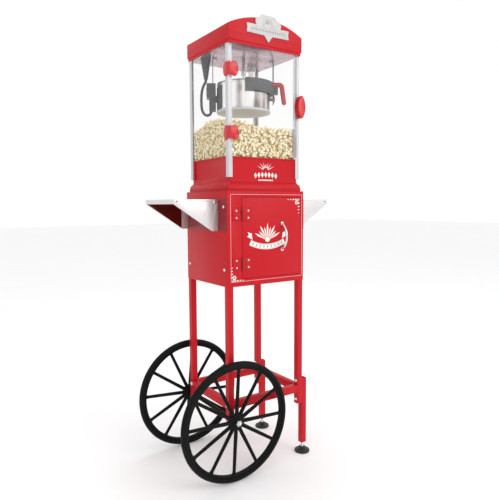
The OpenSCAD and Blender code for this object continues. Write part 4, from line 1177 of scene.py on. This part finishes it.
@dataclass
class Kettle:
    """The tilting kettle, its lids, stirrer, hangers and lead."""

    turn: float = -30.0
    pot_r: float = 85.0
    grip_r: float = 7.8
    lead_r: float = 4.25

    def at(self, x: float, y: float, z: float) -> Vector:
        """A point in the kettle's turned frame, in millimetres from its tilt axis."""
        spun = Matrix.Rotation(math.radians(self.turn), 3, "Z") @ Vector((x, y, z))
        return pivot("kettle_tilt") + spun * MM

    def pot(self) -> None:
        """Spun steel pot with a rolled rim, bead lines, a dark sheet over its end that stands in
        for a painted dark reflection, and its base pan.
        """
        softened(Finish.KETTLE, 0.4, "kettle_pot", body=Body.KETTLE, crease=40.0)
        r, axis = self.pot_r, self.at(0, 0, 0)
        Shape().spin(oval(12, 1.1, 1.1, r + 0.6, 44.9), axis, steps=96, closed=True).piece(
            "pot_rim", Finish.DARK_STEEL, Body.KETTLE)
        beads = Shape()
        for z in (-37.6, 37.0):
            bead = [(r + out, z + rise) for out, rise in half_round(0.9, 1.2)]
            beads.spin(bead + [(r - 0.5, z)], axis, steps=96, closed=True)
        beads.piece("pot_beads", Finish.KETTLE, Body.KETTLE)
        # A dark sheet over the pot's end: a painted dark reflection, not a real part.
        cover = [(r + 0.1, -36), (r + 1.8, -35), (r + 2.2, -30), (r + 2.2, 32), (r + 1.6, 35.5),
                 (r + 0.1, 36)]
        rows = [[self.at(q * math.cos(a), q * math.sin(a), z) for q, z in cover]
                for a in angles(147, 3, 23)]
        Shape().loft(rows, True).piece("pot_end_dark_reflection", Finish.GREY_PLASTIC, Body.KETTLE)
        softened(Finish.PAN, 0.8, "kettle_base_pan", body=Body.KETTLE, crease=40.0, segments=3)

    def guard(self) -> None:
        """Charcoal guard with a ribbed face."""
        softened(Finish.GREY_PLASTIC, 1.1, "kettle_guard", body=Body.KETTLE, crease=45.0,
                 segments=3)
        ribs = Shape()
        for a in angles(-72, 4, 37):
            x, y = 95.6 * math.cos(a), 95.6 * math.sin(a)
            ribs.tube([self.at(x, y, z) for z in (15, 30, 46)], 1.0, 8, 2)
        ribs.piece("guard_ribs", Finish.GREY_PLASTIC, Body.KETTLE)

    def handle(self) -> None:
        """A swept red grip with a rounded end."""
        path = [(95.5, 47), (104, 47.2), (113, 47.4), (121, 47), (125.6, 42), (127, 33),
                (128.6, 20), (130.8, 5), (133, -10)]
        spots = [self.at(x, 0, z) for x, z in path]
        Shape().tube(spots, self.grip_r, 24, 6).ball(spots[-1], self.grip_r, fine=3).replace(
            "kettle_handle", Finish.RED_PLASTIC, Body.KETTLE, 60.0)

    def hangers(self) -> None:
        """Arms, ribbed connector block and strain relief."""
        softened(Finish.DARK_STEEL, 0.5, "hanger_arms")
        softened(Finish.GREY_PLASTIC, 3.5, "kettle_connector", crease=45.0, segments=4)
        ribs = Shape()
        for z in (12, 22, 32):
            ribs.tube([self.at(-119, -18, z), self.at(-120.6, 0, z), self.at(-119, 18, z)],
                      1.6, 8, 6)
        ribs.piece("connector_ribs", Finish.GREY_PLASTIC)
        relief = [(0, 0), (16.6, 0), (17, -2), (16.2, -5)]
        for n in range(8):
            z, r = -8 - 6.8 * n, 15.2 - 1.05 * n
            relief += [(r, z), (r - 0.4, z - 4.4), (r - 1.7, z - 4.9), (r - 1.8, z - 6.3)]
        relief += [(6.6, -65.4), (5.6, -66), (0, -66)]
        Shape().spin(relief, self.at(-122, 0, 128), steps=32).replace("strain_relief",
                                                                      Finish.BLACK_RUBBER)

    def lead(self) -> None:
        """The limp lead that hangs from the strain relief and turns up into the connector."""
        route = [(-122, 62), (-122, 57), (-125.5, 50), (-129.5, 43), (-133, 34), (-135.5, 24),
                 (-137, 12), (-137.5, 0), (-137.5, -12), (-137, -24), (-135.5, -35), (-132, -44),
                 (-126.5, -50), (-119.5, -52.5), (-112.5, -51), (-108, -46.5), (-106, -42),
                 (-106, -38)]
        Shape().tube([self.at(x, 0, z) for x, z in route], self.lead_r).replace(
            "kettle_lead", Finish.BLACK_RUBBER, crease=60.0)

    def build(self) -> None:
        """Makes the kettle and all that carries it."""
        self.pot()
        self.guard()
        self.handle()
        self.hangers()
        self.lead()
        softened(Finish.DARK_STEEL, 0.25, "kettle_strap", body=Body.KETTLE)
        for node, body, width in (("lid_front", Body.FRONT_LID, 0.25),
                                  ("lid_rear", Body.REAR_LID, 0.25),
                                  ("stirrer", Body.STIRRER, 0.4), ("drive_shaft", Body.DRIVE, 0.4)):
            softened(Finish.KETTLE, width, node, body=body)


@dataclass
class Heap:
    """The heap of popcorn: lumpy kernels over a plain core."""

    seed: int = 11
    pitch: float = 16.0
    row_share: float = 0.74
    kinds: int = 10
    core_share: float = 0.93
    jitter: float = 3.0
    wall: float = 7.2
    clear: float = 0.4

    def heading(self, rng: random.Random) -> Vector:
        """A random direction."""
        return Vector((rng.uniform(-1, 1), rng.uniform(-1, 1), rng.uniform(-1, 1))).normalized()

    def kernel(self, rng: random.Random) -> bpy.types.Mesh:
        """One popped kernel: three or four lobes round a core, with how far out as puff."""
        shape = Shape().ball((0, 0, 0), 4.4, (1.0, 0.9, 0.85), 1)
        for _ in range(rng.choice((3, 4, 4))):
            way = self.heading(rng)
            radius, reach = rng.uniform(3.4, 5.4), rng.uniform(4.4, 6.6)
            stretch = rng.uniform(0.85, 1.15), rng.uniform(0.85, 1.15), rng.uniform(0.7, 1.0)
            shape.ball(way * reach * MM, radius, stretch, 1)
        puff = shape.bm.verts.layers.float.new("puff")
        far = max(v.co.length for v in shape.bm.verts)
        for vert in shape.bm.verts:
            vert[puff] = (vert.co.length / far) ** 2
        mesh = bpy.data.meshes.new("kernel")
        shape.bm.to_mesh(mesh)
        shape.bm.free()
        return mesh

    def column(self, rng: random.Random, foot: Vector, top: float, along: Vector) -> list[Vector]:
        """Kernels stacked behind a pane, each row shifted half a step along it."""
        step = self.pitch * MM
        spots: list[Vector] = []
        row = 0
        while foot.z + row * step * self.row_share < top:
            slide = (0.25 if row % 2 else -0.25) * step + rng.uniform(-3.5, 3.5) * MM
            lift = row * step * self.row_share + rng.uniform(-3, 3) * MM
            spots.append(foot + Vector((0, 0, lift)) + along * slide)
            row += 1
        return spots

    def scatter(self, rng: random.Random, core: Shape, pane: list[tuple[float, float]],
                deck: float) -> list[tuple[Vector, bool]]:
        """Places kernels.

        Args:
            rng: the random source.
            core: the heap's own shape.
            pane: the lowest and highest place of a kernel in x and in y.
            deck: the tray's height.

        Returns:
            Each kernel's place, and whether it lies free of the panes.
        """
        tree = BVHTree.FromBMesh(core.bm)
        low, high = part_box("popcorn")
        edge = 3 * MM
        counts = [int((end - start) / (self.pitch * MM)) for start, end in pane]
        grid = [[start + (end - start) * n / count for n in range(count + 1)]
                for (start, end), count in zip(pane, counts)]
        spots: list[tuple[Vector, bool]] = []
        for i, x in enumerate(grid[0]):
            for j, y in enumerate(grid[1]):
                over = Vector((held(x, low.x + edge, high.x - edge),
                               held(y, low.y + edge, high.y - edge), 2.0))
                hit = tree.ray_cast(over, Vector((0, 0, -1)))[0]
                base = (hit.z if hit else low.z) + rng.uniform(-7.0, -2.0) * MM
                front = j in (0, counts[1])
                beside = front or i in (0, counts[0])
                spots.append((Vector((x, y, base)), not beside))
                if beside:
                    along = Vector(RIGHT if front else BACK)
                    foot = Vector((x, y, deck + 9 * MM))
                    spots += [(spot, False)
                              for spot in self.column(rng, foot, base - 6 * MM, along)]
        return spots

    def build(self) -> None:
        """Scatters kernels over the core's top and behind the panes, and shrinks the core."""
        rng = random.Random(self.seed)
        core = Shape().copy("popcorn")
        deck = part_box("popcorn_tray")[1].z
        clear, wall = self.clear * MM, self.wall * MM
        sides = (("glass_left", "glass_right"), ("glass_door", "glass_back"))
        inner = [(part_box(first)[1][k] + clear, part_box(last)[0][k] - clear)
                 for k, (first, last) in enumerate(sides)]
        pane = [(start + wall, end - wall) for start, end in inner]
        spots = self.scatter(rng, core, pane, deck)
        kernels = [self.kernel(rng) for _ in range(self.kinds)]
        shape = Shape()
        shape.bm.verts.layers.float.new("puff")
        for spot, free in spots:
            mesh = rng.choice(kernels).copy()
            spot.x, spot.y = held(spot.x, *pane[0]), held(spot.y, *pane[1])
            shift = Vector((rng.uniform(-1, 1), rng.uniform(-1, 1), rng.uniform(-0.6, 0.6)))
            shift *= self.jitter * MM
            if not free:
                shift *= 0.35
            turn = Matrix.Rotation(rng.uniform(0, math.tau), 4, self.heading(rng))
            size = rng.uniform(1.15, 1.4) if free else rng.uniform(1.08, 1.22)
            mesh.transform(Matrix.Translation(spot + shift) @ turn @ Matrix.Scale(size, 4))
            for vert in mesh.vertices:
                vert.co.x, vert.co.y = held(vert.co.x, *inner[0]), held(vert.co.y, *inner[1])
                vert.co.z = max(vert.co.z, deck + 0.3 * MM)
            shape.bm.from_mesh(mesh)
            bpy.data.meshes.remove(mesh)
        shape.piece("popcorn_kernels", Finish.POPCORN, crease=180.0)
        mid = middle("popcorn")
        for vert in core.bm.verts:
            vert.co.x = mid.x + (vert.co.x - mid.x) * self.core_share
            vert.co.y = mid.y + (vert.co.y - mid.y) * self.core_share
            vert.co.z -= 3 * MM if vert.co.z > mid.z else 0.0
        core.soften(2.0, 2, 50).piece("popcorn_core", Finish.POPCORN, replaces=["popcorn"],
                                      crease=180.0)


def side_mounts() -> None:
    """Wall plates and hinge pins of the shelves; the plates are a darker red as painted shade."""
    # The wall plates' darker red is painted shade beside the shelves' cheeks.
    softened(Finish.DARK_RED, 0.35, "shelf_wall_plates")
    softened(Finish.ZINC, 0.4, "shelf_pins")


def main() -> None:
    """Builds every sub-assembly in order."""
    logging.basicConfig(level=logging.INFO, format="%(name)s %(message)s", stream=sys.stdout)
    Stage().build()
    parts = [
        Frame(),
        Wheel("wheel_front", "tyre_front", Body.FRONT_WHEEL, -3.5),
        Wheel("wheel_back", "tyre_back", Body.BACK_WHEEL, -5.0),
        Cabinet(),
        Shelf("shelf_left", Body.LEFT_SHELF, -1),
        Shelf("shelf_right", Body.RIGHT_SHELF, 1),
        MachineBase(),
        Case(),
        Canopy(),
        Kettle(),
        Heap(),
    ]
    for part in parts:
        part.build()
        LOG.info("built %s", type(part).__name__)
    side_mounts()


if __name__ == "__main__":
    main()
